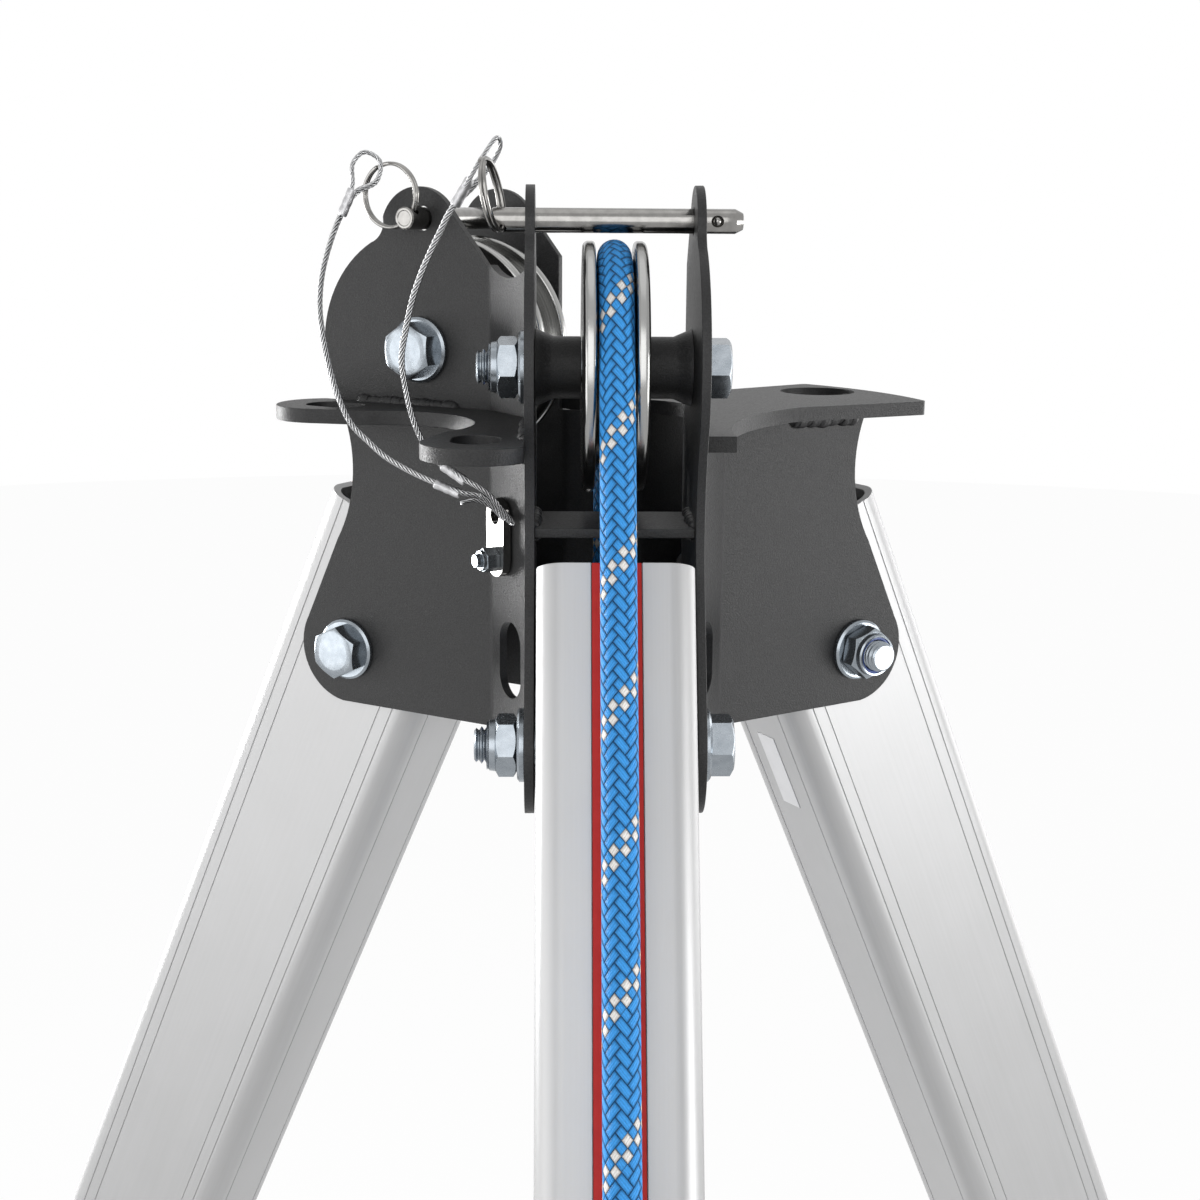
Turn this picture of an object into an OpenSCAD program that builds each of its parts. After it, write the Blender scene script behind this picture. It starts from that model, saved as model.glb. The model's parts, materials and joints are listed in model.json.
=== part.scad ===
// Rescue tripod: a welded steel head with two rope pulleys on three telescopic aluminium legs.
// Each leg channel has its own frame: X runs outward from the head's centre, Y along the pivot
// bolt, Z up. Each leg has a frame at its pivot bolt with Z up along the leg, X out of its face.

/* [Head] */
// Thickness of the bent head plates
plate_t = 3; // [2.5:0.5:4]
// Clear width between the two cheeks of a channel
channel_gap = 51.5; // [51:0.5:56]
// Distance from the head's centre to the start of each cheek
cheek_start = 32.8; // [32:0.4:35]
// Distance from the head's centre to each pivot bolt
pivot_u = 100; // [98:1:106]
// Radius of the cheek round the pivot bolt
pivot_lobe_r = 22; // [20:0.5:24]
// Distance from the head's centre to each pulley axle
axle_u = 63.2; // [62:0.4:66]
// Height of the pulley axles above the pivot bolts
axle_z = 118.7; // [117:0.5:121]
// Radius of the cheek round the pulley axle
axle_lobe_r = 44; // [43:0.5:46]
// Distance from the head's centre to each quick-release pin
pin_u = 61.8; // [61:0.4:64]
// Height of the quick-release pins above the pivot bolts
pin_z = 166.1; // [165:0.5:168]
// Radius of the cheek round the quick-release pin
pin_lobe_r = 16.4; // [15:0.4:17.5]
// Height of the top of the left web above the pivot bolts
web_top = 150; // [145:1:153]
// Width of the slot in each web
web_slot_w = 16; // [12:1:18]
// Length of the slot in each web
web_slot_len = 29; // [24:1:32]

/* [Anchor plates] */
// Thickness of the horizontal anchor plates
anchor_t = 5.3; // [4:0.1:6]
// Height of the top of the anchor plates above the pivot bolts
anchor_top = 98.3; // [96:0.5:100]
// Radius of each ear of the left anchor plate
ear_r = 18.5; // [17:0.5:20]
// Width of the eye slot in each ear
eye_w = 15.6; // [12:0.4:18]
// Length of the eye slot in each ear
eye_len = 23; // [20:1:25]
// Outer radius of the wing plate over the right leg
wing_r = 127.5; // [125:0.5:132]
// Half of the width of the wing plate
wing_half_w = 38; // [36:0.5:42]
// Diameter of the round eye in the wing plate
wing_eye_d = 30; // [24:1:32]

/* [Pulleys] */
// Outer radius of a pulley
pulley_r = 41; // [40:0.5:42]
// Radius of the rope seat at the bottom of the groove
groove_r = 30; // [28:0.5:31]
// Width of a pulley
pulley_w = 20.8; // [19:0.4:22]
// Outer diameter of the pulley bushes
bush_d = 17; // [16:0.5:19]
// Outer diameter of the spacer tubes
spacer_d = 20.4; // [20:0.2:23]

/* [Bolts and pins] */
// Diameter of the axle and pivot bolts
bolt_d = 12; // [11:0.5:12]
// Width across the flats of the bolt heads and nuts
bolt_af = 18; // [17:0.5:19]
// Height of a bolt head
head_h = 7.5; // [6:0.5:8]
// Height of a lock nut
nut_h = 9.8; // [9:0.2:11]
// Length of bolt thread that stands out of its nut
thread_out = 4.1; // [3:0.5:6]
// Diameter of the washers
washer_d = 24; // [22:0.5:26]
// Thickness of the washers
washer_t = 2.5; // [2:0.25:3]
// Diameter of the quick-release pins
pin_d = 8; // [7:0.5:8]
// Length of the quick-release pins
pin_len = 81.7; // [80:0.5:86]
// Mean radius of the split rings
ring_r = 11.2; // [10.4:0.2:12]
// Wire diameter of the split rings
ring_wire_d = 1.5; // [1.2:0.1:1.8]

/* [Legs] */
// Angle of each leg from the vertical when it rests on its stop
leg_angle = 25; // [24:0.5:27]
// Width of the outer leg across the channel
leg_w = 50; // [48:0.5:50]
// Depth of the outer leg
leg_depth = 74; // [70:0.5:76]
// Corner radius of the outer leg
leg_corner_r = 9; // [8:0.5:10]
// Wall of the outer leg
leg_wall = 3; // [2.4:0.2:3.4]
// Length of the outer leg
leg_len = 1232; // [1160:4:1300]
// Length of the outer leg above the pivot bolt
leg_above = 52; // [50:0.5:53]
// Width of the coloured stripe
stripe_w = 16; // [12:0.5:18]
// Depth of the stripe's channel
stripe_depth = 1.2; // [0.8:0.1:1.5]
// Wall of the inner leg
inner_wall = 3; // [2.4:0.2:3.4]
// Length of the inner leg
inner_len = 1220; // [1160:4:1280]
// Length of the inner leg that shows when it is pushed in
inner_out = 120; // [100:5:160]
// Clearance between the inner and the outer leg
tube_gap = 0.4; // [0.3:0.1:0.8]
// Height of the clamp collar
collar_h = 52; // [46:2:60]
// Wall of the clamp collar
collar_wall = 6; // [5:0.5:8]
// Diameter of the clamp knob
knob_d = 48; // [42:2:54]

/* [Feet] */
// Diameter of the rubber pads
pad_d = 90; // [84:2:100]
// Thickness of the rubber pads
pad_t = 10; // [9:1:14]
// Thickness of the foot plate and of its ears
shoe_t = 5; // [4:0.5:6]
// Height of the foot bolt above the ground
foot_bolt_z = 48; // [46:1:56]
// Diameter of the foot bolt
foot_bolt_d = 10; // [8:1:12]
// Thickness of the lug under the leg
lug_t = 18; // [14:1:22]
// Distance from the end of the inner leg to the foot bolt
lug_drop = 42; // [41:1:50]

/* [Rope and lanyards] */
// Diameter of the rope
rope_d = 11.2; // [10.5:0.1:11.4]
// Diameter of the lanyard wire
wire_d = 2.5; // [2:0.1:2.8]
// Distance of the rope from the leg's centre plane, on the outer side
rope_out = 52.8; // [52.4:0.2:53.4]
// Diameter of the steel rod of the snap hook
hook_rod_d = 11; // [10:0.5:12]
// Distance between the long sides of the snap hook
hook_w = 44; // [42:1:48]
// Length of the straight sides of the snap hook
hook_side = 48; // [44:1:54]

/* [Hidden] */
$fn = 64;
eps = 0.02;
fit = 0.05;
seat_gap = 0.3;
loose = 0.25;

FRONT = -90;
LEFT = 150;
RIGHT = 30;
WEB_A = 210;
WEB_B = -30;
WEB_C = 90;

// places that follow from the driving sizes
cheek_in = channel_gap / 2;
cheek_out = cheek_in + plate_t;
bend_deg = 30;
web_b = cheek_start * cos(60) + cheek_out * sin(60);
web_half = cheek_start * sin(60) - cheek_out * cos(60);
bend_r = 5;
bend_run = bend_r * tan(bend_deg / 2);
plate_bottom = 0.2 - pivot_lobe_r;
anchor_z = anchor_top - anchor_t;
bolt_hole_r = bolt_d / 2 + loose;
pin_hole_r = pin_d / 2 + 0.5;

inner_w = leg_w - 2 * leg_wall - 2 * tube_gap;
inner_depth = leg_depth - 2 * leg_wall - 2 * tube_gap;
inner_corner_r = leg_corner_r - leg_wall - tube_gap;
leg_mid = 0.5;
leg_face = leg_mid + leg_depth / 2;
leg_back = leg_mid - leg_depth / 2;
leg_end = leg_len - leg_above;
inner_end = leg_end + inner_out;
foot_reach = inner_end + lug_drop;
foot_r = pivot_u + foot_reach * sin(leg_angle);
pivot_z = foot_bolt_z + foot_reach * cos(leg_angle);
head_y = foot_r / 4;

shelf_z = 67;
shelf_t = 3;
shelf_u0 = 60;
shelf_u1 = 93;
stop_d = 12;
stop_down = 3;
stop_gap = 0.1;

spacer_end = pulley_w / 2 + seat_gap;
rope_r = rope_d / 2;
rope_seat_r = groove_r + seat_gap + rope_r;

// frames
module at_head() translate([0, head_y, pivot_z]) children();
module at_channel(turn) at_head() rotate([0, 0, turn]) children();
module at_leg(turn) at_channel(turn) translate([pivot_u, 0, 0]) rotate([0, -leg_angle, 0]) children();
module at_foot(turn) translate([0, head_y, 0]) rotate([0, 0, turn]) translate([foot_r, 0, foot_bolt_z]) children();

// a flat outline drawn in X and Z, thickened from Y = y0 to y0 + t
module upright(y0, t) translate([0, y0 + t, 0]) rotate([90, 0, 0]) linear_extrude(t) children();

// a round bar along Y from y0 to y1
module cross_bar(r, y0, y1) translate([0, y0, 0]) rotate([-90, 0, 0]) cylinder(r = r, h = y1 - y0);

// a hexagonal bar along Y, flats up
module cross_hex(af, y0, y1)
    translate([0, y0, 0]) rotate([-90, 0, 0]) cylinder(d = af / cos(30), h = y1 - y0, $fn = 6);

// a rectangle with round corners, centred
module round_rect(x, y, r) {
    square([x - 2 * r, y], center = true);
    square([x, y - 2 * r], center = true);
    for (sx = [-1, 1], sy = [-1, 1])
        translate([sx * (x / 2 - r), sy * (y / 2 - r)]) circle(r = r);
}

// a slot with round ends along X, centred
module slot(len, w) {
    square([len - w, w], center = true);
    for (sx = [-1, 1]) translate([sx * (len - w) / 2, 0]) circle(d = w);
}

// outline of a cheek's lower half, from its bend to its outer edge, cut level at the given height
waist_r = 56.3;
waist_at = [pivot_u + 51.7, 73];
neck_low = [pivot_u + 1.8, 47.6];
tangent_deg = 27;
back_u = cheek_start + bend_run;
back_step = 1.5;

module cheek_lower(top) {
    below = plate_bottom - 1;
    difference() {
        union() {
            translate([pivot_u, 0]) circle(r = pivot_lobe_r);
            polygon([
                [back_u + back_step, below], [pivot_u, below],
                [pivot_u + (pivot_lobe_r - 0.1) * cos(tangent_deg), (pivot_lobe_r - 0.1) * sin(tangent_deg)],
                neck_low, [neck_low[0], top], [back_u + back_step, top]
            ]);
        }
        translate(waist_at) circle(r = waist_r);
        translate([pivot_u, 0]) circle(r = bolt_hole_r);
    }
}

// outline of a cheek's upper half: round the axle, necked in, and round the pin
neck_r = 8.2;
neck_at = [axle_u + 23.8, pin_z - 1.1];
pin_lobe_at = [pin_u + 1.7, pin_z - 5.1];
back_top = [pin_u - 10.6, pin_z + 5.1];

module cheek_upper(edge_u, edge_z) {
    difference() {
        union() {
            polygon([
                [edge_u, anchor_z - 1], [axle_u + 30, anchor_z - 1], [axle_u + 30, axle_z], [axle_u, axle_z],
                pin_lobe_at, back_top, [edge_u, edge_z]
            ]);
            intersection() {
                translate([axle_u, axle_z]) circle(r = axle_lobe_r);
                translate([axle_u, anchor_z + 3]) square([axle_lobe_r + 1, neck_at[1] - anchor_z - 3]);
            }
            translate(pin_lobe_at) circle(r = pin_lobe_r);
            polygon([[axle_u, axle_z], neck_at, pin_lobe_at]);
        }
        translate(waist_at) circle(r = waist_r);
        translate(neck_at) circle(r = neck_r);
        translate([axle_u, axle_z]) circle(r = bolt_hole_r);
        translate([pin_u, pin_z]) circle(r = pin_hole_r);
    }
}

// a full cheek with the start of its web, cut level at the web's top
root_u = cheek_start - 8;

module cheek(lobed, top) {
    translate([root_u, plate_bottom - 1]) square([back_u + 2 * back_step - root_u, top + 1 - plate_bottom]);
    cheek_lower(lobed ? anchor_top : anchor_z);
    if (lobed && top > anchor_top) cheek_upper(back_u, web_top);
    if (lobed && top < anchor_top) cheek_upper(back_u + back_step, web_top + 2);
}

// plan outline of a bent plate, X out of its web
function arc(c, r, a0, a1, n) = [for (i = [0:n]) c + r * [cos(a0 + (a1 - a0) * i / n), sin(a0 + (a1 - a0) * i / n)]];
function turned(p) = [for (i = [len(p) - 1:-1:0]) p[i]];
function mirrored(p) = [for (q = p) [q[0], -q[1]]];
function plate_side(r, s) = concat(
    [[plate_end_u * cos(60) + s * sin(60), plate_end_u * sin(60) - s * cos(60)]],
    arc([web_b + bend_r, web_half - bend_run], r, 180 - bend_deg, 180, 5)
);
plate_end_u = pivot_u + pivot_lobe_r + 4;
plate_high = pin_z + pin_lobe_r;

module plate_plan() polygon(concat(
    plate_side(bend_r, cheek_out), turned(mirrored(plate_side(bend_r, cheek_out))),
    mirrored(plate_side(bend_r + plate_t, cheek_in)), turned(plate_side(bend_r + plate_t, cheek_in))
));

// a bent head plate: one web and a cheek on each side of it
module head_plate(turn, plus_lobe, minus_lobe, top) color("#26272a") at_head() rotate([0, 0, turn]) difference() {
    translate([0, 0, plate_bottom]) linear_extrude(plate_high - plate_bottom) plate_plan();
    rotate([0, 0, 60]) cheek_waste(-cheek_out) cheek(plus_lobe, top);
    rotate([0, 0, -60]) cheek_waste(cheek_in) cheek(minus_lobe, top);
    translate([web_b - 2 * plate_t, -web_half, top]) cube([3 * plate_t, 2 * web_half, plate_high]);
    translate([web_b, 0, pivot_lobe_r / 3]) rotate([0, -90, 0])
        linear_extrude(3 * plate_t, center = true) slot(web_slot_len, web_slot_w);
    web_notch(top);
    if (turn == WEB_A) translate([web_b, tab_side, tab_low]) rotate([0, 90, 0])
        cylinder(d = tab_hole_d, h = 4 * plate_t, center = true);
}

// all that lies outside a cheek's outline
module cheek_waste(y0) upright(y0 - 2, plate_t + 4) difference() {
    translate([root_u + 1, plate_bottom - 1]) square([plate_end_u, plate_high + 3 - plate_bottom]);
    children();
}

// the shallow hollow in the top edge of the tall web
module web_notch(top) {
    notch_r = 24;
    if (top > anchor_top)
        translate([web_b, 0, top + notch_r - 4]) rotate([0, 90, 0]) cylinder(r = notch_r, h = 4 * plate_t, center = true);
}

module head_plate_left() head_plate(WEB_A, true, true, web_top);
module head_plate_right() head_plate(WEB_B, false, true, anchor_z);
module head_plate_rear() head_plate(WEB_C, true, false, anchor_z);

// the left anchor plate wraps the outside of the left head plate, with an eye in each ear
ear_u = 96;
ear_s = 43.3;
eye_u = 91;
ear_hollow_r = 36;
ear_hollow_b = 95.5;

function ear_half() = let (ear_at = [ear_u * cos(60) + ear_s * sin(60), ear_u * sin(60) - ear_s * cos(60)]) concat(
    [[web_b, web_half + 3]], arc(ear_at, ear_r, 150, -45, 26), arc([ear_hollow_b, 0], ear_hollow_r, 110, 176, 10)
);

module anchor_plate_left() color("#2b2c2f") at_head() rotate([0, 0, WEB_A]) translate([0, 0, anchor_z]) difference() {
    linear_extrude(anchor_t) polygon(concat(ear_half(), turned(mirrored(ear_half()))));
    for (turn = [60, -60]) rotate([0, 0, turn]) {
        translate([0, -cheek_out, -1]) cube([2 * pivot_u, 2 * cheek_out, anchor_t + 2]);
        translate([eye_u, -sign(turn) * (ear_s + 1), -1]) linear_extrude(anchor_t + 2) polygon(concat(
            arc([(eye_len - eye_w) / 2, 0], eye_w / 2, -90, 90, 18), arc([(eye_w - eye_len) / 2, 0], eye_w / 2, 90, 270, 18)
        ));
    }
}

// the right anchor plate is a wing over the right leg, with one round eye
wing_corner_r = 3;
wing_eye_u = 107;
wing_eye_s = 11;
stub_w = 11;
stub_end = 81;
wing_inner_r = 33;

wing_side_u = 64.2;
wing_side_s = 32.6;
wing_hollow_at = [160.1, 9.6];
wing_hollow_r = 104.1;

// a point given along and beside a tall cheek, seen from the right leg
function beside(along, out) = [-along * cos(60) + out * sin(60), -along * sin(60) - out * cos(60)];

// the stretch between the wing and a tall cheek, hollowed by a shallow arc
module wing_side() difference() {
    polygon([
        [90, 0], [90, -20], [wing_side_u + 8, -wing_side_s - 2], beside(stub_end, cheek_out + stub_w),
        beside(stub_end, cheek_out - 2), beside(cheek_start - 4, cheek_out - 2), [wing_inner_r - 6, 0]
    ]);
    rotate(-60) translate(wing_hollow_at) circle(r = wing_hollow_r);
}

module wing_end() {
    corner_u = wing_r - 7.9;
    intersection() {
        circle(r = wing_r);
        union() {
            polygon([
                [50, -20], [wing_side_u, -wing_side_s], [96, -35.7], [corner_u, -wing_half_w],
                [corner_u, wing_half_w], [96, 35.7], [wing_side_u, wing_side_s], [50, 20]
            ]);
            translate([96, -wing_half_w + wing_corner_r]) square([wing_r, 2 * (wing_half_w - wing_corner_r)]);
            for (side = [-1, 1]) translate([corner_u, side * (wing_half_w - wing_corner_r)]) circle(r = wing_corner_r);
        }
    }
}

module anchor_plate_right() color("#2b2c2f") at_channel(RIGHT) translate([0, 0, anchor_z]) difference() {
    union() {
        linear_extrude(anchor_t) wing_end();
        for (m = [0, 1]) mirror([0, m, 0]) linear_extrude(anchor_t) wing_side();
    }
    translate([0, 0, -1]) cylinder(r = wing_inner_r, h = anchor_t + 2);
    for (turn = [120, -120]) rotate([0, 0, turn]) translate([0, -cheek_out, -1])
        cube([wing_r, 2 * cheek_out, anchor_t + 2]);
    translate([wing_eye_u, wing_eye_s, -1]) cylinder(d = wing_eye_d, h = anchor_t + 2);
}

// level braces between the cheeks, over the tops of the legs
module channel_braces() color("#232427")
    for (turn = [FRONT, LEFT, RIGHT]) at_channel(turn)
        translate([shelf_u0, -cheek_in, shelf_z]) cube([shelf_u1 - shelf_u0, channel_gap, shelf_t]);

// spacer tubes that keep each pulley in the middle, flared where they are welded to the cheeks
module spacer_tube() {
    flare_w = 2.6;
    flare_len = 6;
    rotate([-90, 0, 0]) rotate_extrude() polygon([
        [bolt_hole_r, spacer_end], [spacer_d / 2, spacer_end], [spacer_d / 2, cheek_in - flare_len],
        [spacer_d / 2 + flare_w, cheek_in], [bolt_hole_r, cheek_in]
    ]);
}

module pulley_spacers() color("#1d1e20")
    for (turn = [FRONT, LEFT], m = [0, 1])
        at_channel(turn) translate([axle_u, 0, axle_z]) mirror([0, m, 0]) spacer_tube();

// stop bars that each leg leans on when it is spread
module leg_stops() color("#232427")
    for (turn = [FRONT, LEFT, RIGHT]) at_leg(turn)
        translate([leg_back - stop_gap - stop_d / 2, 0, leg_above - stop_down - stop_d / 2]) cross_bar(stop_d / 2, -cheek_in, cheek_in);

// the bolts, washers and lock nuts of the axles and pivots, heads on the same side of each channel
module each_bolt() {
    for (turn = [FRONT, LEFT]) at_channel(turn) translate([axle_u, 0, axle_z]) children();
    for (turn = [FRONT, LEFT, RIGHT]) at_channel(turn) translate([pivot_u, 0, 0]) children();
}

washer_out = cheek_out + washer_t;
nut_out = washer_out + nut_h;

module head_bolts() color("#b9c2ca") each_bolt() {
    cross_bar(bolt_d / 2, -nut_out - thread_out, washer_out);
    cross_hex(bolt_af, washer_out, washer_out + head_h);
}

module head_lock_nuts() color("#aab7c4") each_bolt() difference() {
    cross_hex(bolt_af, -nut_out, -washer_out);
    cross_bar(bolt_d / 2 + fit, -nut_out - 1, -washer_out + 1);
}

module head_washers() color("#c3cad1") each_bolt() for (side = [-1, 1])
    translate([0, side * (cheek_out + washer_t / 2), 0]) difference() {
        cross_bar(washer_d / 2, -washer_t / 2, washer_t / 2);
        cross_bar(bolt_hole_r, -washer_t, washer_t);
    }

// two thin tabs stacked on the left web, held by one small screw and a lock nut
tab_w = 13;
tab_t = 1.5;
tab_low = 45;
tab_high = 61;
tab_side = -4.5;
tab_hole_r = 3.2;
tab_seat = 0.6;
tab_screw_d = 5;
tab_hole_d = tab_screw_d + 0.4;
screw_head_d = 9;
screw_head_h = 3;
screw_socket_d = 3.5;
screw_out = 12;
small_nut_af = 8;
small_nut_h = 5;
small_collar_d = 7.4;
small_collar_h = 6.4;

module tab_outline(x0) translate([x0, 0, 0]) rotate([90, 0, 90]) linear_extrude(tab_t) difference() {
    union() {
        translate([0, tab_high]) circle(d = tab_w);
        translate([0, tab_low]) circle(d = tab_w);
        translate([-tab_w / 2, tab_low]) square([tab_w, tab_high - tab_low]);
    }
    translate([0, tab_high]) circle(r = tab_hole_r);
    translate([0, tab_low]) circle(d = tab_hole_d);
}

module at_tab() at_head() rotate([0, 0, WEB_A]) translate([web_b, tab_side, 0]) children();

module lanyard_tabs() color("#c9ccd0") at_tab() {
    tab_outline(tab_seat);
    tab_outline(tab_seat + tab_t + eps);
}

module lanyard_screw() color("#c3cad1") at_tab() translate([0, 0, tab_low]) rotate([0, 90, 0]) {
    difference() {
        union() {
            translate([0, 0, -plate_t - screw_head_h]) cylinder(d = screw_head_d, h = screw_head_h);
            translate([0, 0, -plate_t]) cylinder(d = tab_screw_d, h = plate_t + screw_out);
        }
        translate([0, 0, -plate_t - screw_head_h - 1]) cylinder(d = screw_socket_d, h = screw_head_h, $fn = 6);
    }
}

module lanyard_nut() color("#aab7c4") at_tab()
    translate([tab_seat + 2 * tab_t + eps, 0, tab_low]) rotate([0, 90, 0]) difference() {
        union() {
            cylinder(d = small_nut_af / cos(30), h = small_nut_h, $fn = 6);
            cylinder(d = small_collar_d, h = small_collar_h);
        }
        translate([0, 0, -1]) cylinder(d = tab_screw_d + 2 * fit, h = small_collar_h + 2.6);
    }

// a grooved pulley and the bush it turns with
module pulley(turn) {
    half_w = pulley_w / 2;
    lip = 1.8;
    channel_half = 6.3;
    color("#c8c9c8") at_channel(turn) translate([axle_u, 0, axle_z]) rotate([-90, 0, 0]) rotate_extrude() difference() {
        union() {
            translate([bush_d / 2 + fit, -half_w]) square([pulley_r - lip - bush_d / 2 - fit, pulley_w]);
            translate([bush_d / 2 + fit, -half_w + lip]) square([pulley_r - bush_d / 2 - fit, pulley_w - 2 * lip]);
            for (side = [-1, 1]) translate([pulley_r - lip, side * (half_w - lip)]) circle(r = lip);
        }
        translate([groove_r + channel_half, 0]) circle(r = channel_half);
        translate([groove_r + channel_half, -channel_half]) square([pulley_r, 2 * channel_half]);
    }
}

module pulley_bush(turn) {
    color("#a8873f") at_channel(turn) translate([axle_u, 0, axle_z]) rotate([-90, 0, 0]) difference() {
        cylinder(d = bush_d, h = pulley_w, center = true);
        cylinder(r = bolt_d / 2 + fit, h = pulley_w + 2, center = true);
    }
}

// a quick-release pin with a detent ball near one end and a ring hole near the other
pin_ring_end = 39.8;
pin_ring_hole = 36.6;
pin_ball_at = -33.3;
pin_bevel = 1.2;
ball_r = 1.5;
ring_hole_r = ring_wire_d / 2 + 0.9;
ring_lift = 45;

module pin(turn, side) {
    color("#b4b6b8") at_channel(turn) translate([pin_u, 0, pin_z]) mirror([0, side, 0]) difference() {
        union() {
            translate([0, pin_ring_end, 0]) rotate([90, 0, 0]) rotate_extrude() polygon([
                [0, 0], [pin_d / 2 - 0.4, 0], [pin_d / 2, 0.4], [pin_d / 2, pin_len - 2 * pin_bevel],
                [pin_d / 2 - pin_bevel, pin_len], [0, pin_len]
            ]);
            translate([0, pin_ball_at, pin_d / 2 - 1.1]) sphere(r = ball_r);
        }
        translate([0, pin_ring_hole, 0]) rotate([0, -ring_lift, 0]) cylinder(r = ring_hole_r, h = 2 * pin_d, center = true);
    }
}

// the split ring stands up from the pin, held there by the stiff wire of its lanyard
module pin_ring(turn, side) {
    color("#b9bbbd") at_channel(turn) translate([pin_u, 0, pin_z]) mirror([0, side, 0])
        translate([0, pin_ring_hole, 0]) rotate([0, -ring_lift, 0]) translate([ring_r, 0, 0])
            rotate([90, 0, 0]) rotate_extrude() translate([ring_r, 0]) circle(d = ring_wire_d, $fn = 24);
}

module pin_front() pin(FRONT, 1);
module pin_left() pin(LEFT, 0);
module ring_front() pin_ring(FRONT, 1);
module ring_left() pin_ring(LEFT, 0);

// a tube swept along points, its end faces square to its ends
function unit(v) = v / norm(v);
function headings(p) = [for (i = [0:len(p) - 1]) unit(p[min(i + 1, len(p) - 1)] - p[max(i - 1, 0)])];
function carried(t, i, n) = i == len(t) ? [] :
    let (m = unit(n - (n * t[i]) * t[i])) concat([m], carried(t, i + 1, m));

module swept_tube(p, r, sides) {
    t = headings(p);
    n = carried(t, 0, [0.31, 0.43, 0.85]);
    last = len(p) - 1;
    rim = [for (i = [0:last], k = [0:sides - 1])
        p[i] + r * (cos(360 * k / sides) * n[i] + sin(360 * k / sides) * cross(t[i], n[i]))];
    wall = [for (i = [0:last - 1], k = [0:sides - 1])
        let (a = i * sides + k, b = i * sides + (k + 1) % sides) each [[a, a + sides, b], [b, a + sides, b + sides]]];
    caps = [[for (k = [0:sides - 1]) k], [for (k = [sides - 1:-1:0]) last * sides + k]];
    polyhedron(points = rim, faces = concat(caps, wall));
}

// lanyard routes, measured from the head's centre at the height of the pivot bolts
lanyard_left_route = [
    [-92, -8, 172], [-91, -7, 178], [-91, -4, 185], [-87, 0, 189], [-82, 1, 186], [-83, -2, 179], [-90, -5, 175],
    [-95, -6, 168], [-99, -9, 158], [-102, -11, 147], [-103, -13, 136], [-102, -15, 126], [-100, -16, 115],
    [-96, -18, 102], [-92, -19, 94], [-86, -20, 88], [-80, -22, 83], [-71, -24, 78], [-61, -27, 74],
    [-52, -29, 71], [-46, -29, 70], [-41, -29, 67], [-37, -27, 62], [-38, -24, 61], [-42, -24, 65], [-48, -26, 68], [-53, -27, 67]
];
lanyard_front_route = [
    [-49, -56, 176], [-46, -59, 181], [-42, -61, 187], [-38, -60, 192], [-37, -57, 190], [-40, -54, 184], [-46, -54, 177],
    [-53, -53, 170], [-58, -50, 161], [-63, -47, 151], [-67, -44, 141], [-70, -41, 130], [-72, -38, 119],
    [-71, -35, 108], [-69, -33, 98], [-66, -31, 90], [-60, -31, 82], [-52, -33, 77],
    [-46, -35, 74], [-42, -35, 71], [-38, -34, 66], [-34, -31, 61], [-35, -28, 60], [-40, -30, 66], [-46, -32, 71]
];

module lanyard(route) color("#a9abad") at_head() swept_tube(route, wire_d / 2, 8);
module lanyard_front() lanyard(lanyard_front_route);
module lanyard_left() lanyard(lanyard_left_route);

// crimped ferrules, each round two strands of wire
ferrule_d = 5;
ferrule_len = 10;

module ferrule(from, to) {
    dir = unit(to - from);
    turn = atan2(dir[1], dir[0]);
    tilt = acos(dir[2]);
    translate(from) rotate([0, tilt, turn]) linear_extrude(ferrule_len) slot(ferrule_d + wire_d, ferrule_d);
}

module ferrules_left() color("#c5c7c9") at_head() {
    ferrule([-91, -7, 176], [-95, -8, 167]);
    ferrule([-62, -26, 74], [-52, -28, 70]);
}

module ferrules_front() color("#c5c7c9") at_head() {
    ferrule([-47, -55, 179], [-52, -54, 171]);
    ferrule([-59, -30, 81], [-50, -32, 75]);
}

// the outer leg: a grooved rectangular tube with a sleeve pressed in for the pivot bolt
groove_t = 0.8;

module leg_profile() translate([leg_mid, 0]) difference() {
    round_rect(leg_depth, leg_w, leg_corner_r);
    round_rect(leg_depth - 2 * leg_wall, leg_w - 2 * leg_wall, leg_corner_r - leg_wall);
    translate([leg_depth / 2 - stripe_depth, -stripe_w / 2]) square([2 * stripe_depth, stripe_w]);
    for (side = [-1, 1]) {
        for (o = [-27, -21.5, 21.5, 27]) translate([o - groove_t / 2, side * leg_w / 2 - groove_t / 2]) square(groove_t);
        translate([-leg_depth / 2 - groove_t / 2, side * 14 - groove_t / 2]) square(groove_t);
    }
}

module outer_leg(turn) {
    sleeve_r = 10;
    color("#b7b8ba") at_leg(turn) difference() {
        union() {
            translate([0, 0, -leg_end]) linear_extrude(leg_len) leg_profile();
            cross_bar(sleeve_r, -leg_w / 2 + eps, leg_w / 2 - eps);
        }
        cross_bar(bolt_d / 2 + fit, -leg_w, leg_w);
    }
}

module stripe(turn) color("#d8372f") at_leg(turn)
    translate([leg_face - stripe_depth, -stripe_w / 2 + 0.2, -leg_end]) cube([stripe_depth - 0.2, stripe_w - 0.4, leg_len]);

// a blank label on the back of the right leg
label_w = 11;
label_len = 36;
label_top = 28;

module label_right() color("#cfd0d2") at_leg(RIGHT)
    translate([leg_back - 0.3, -4, -label_top - label_len]) cube([0.3, label_w, label_len]);

// the clamp collar holds the end of the outer leg and guides the inner leg
collar_over = 30;
boss_d = 30;
boss_out = 13;
screw_d = 10;

module leg_block(grow, h) linear_extrude(h) translate([leg_mid, 0])
    round_rect(leg_depth + 2 * grow, leg_w + 2 * grow, leg_corner_r + grow);

module inner_outline(grow) translate([leg_mid, 0])
    round_rect(inner_depth + 2 * grow, inner_w + 2 * grow, inner_corner_r + grow);

screw_z = -(leg_end + (collar_h - collar_over) / 2);

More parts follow.
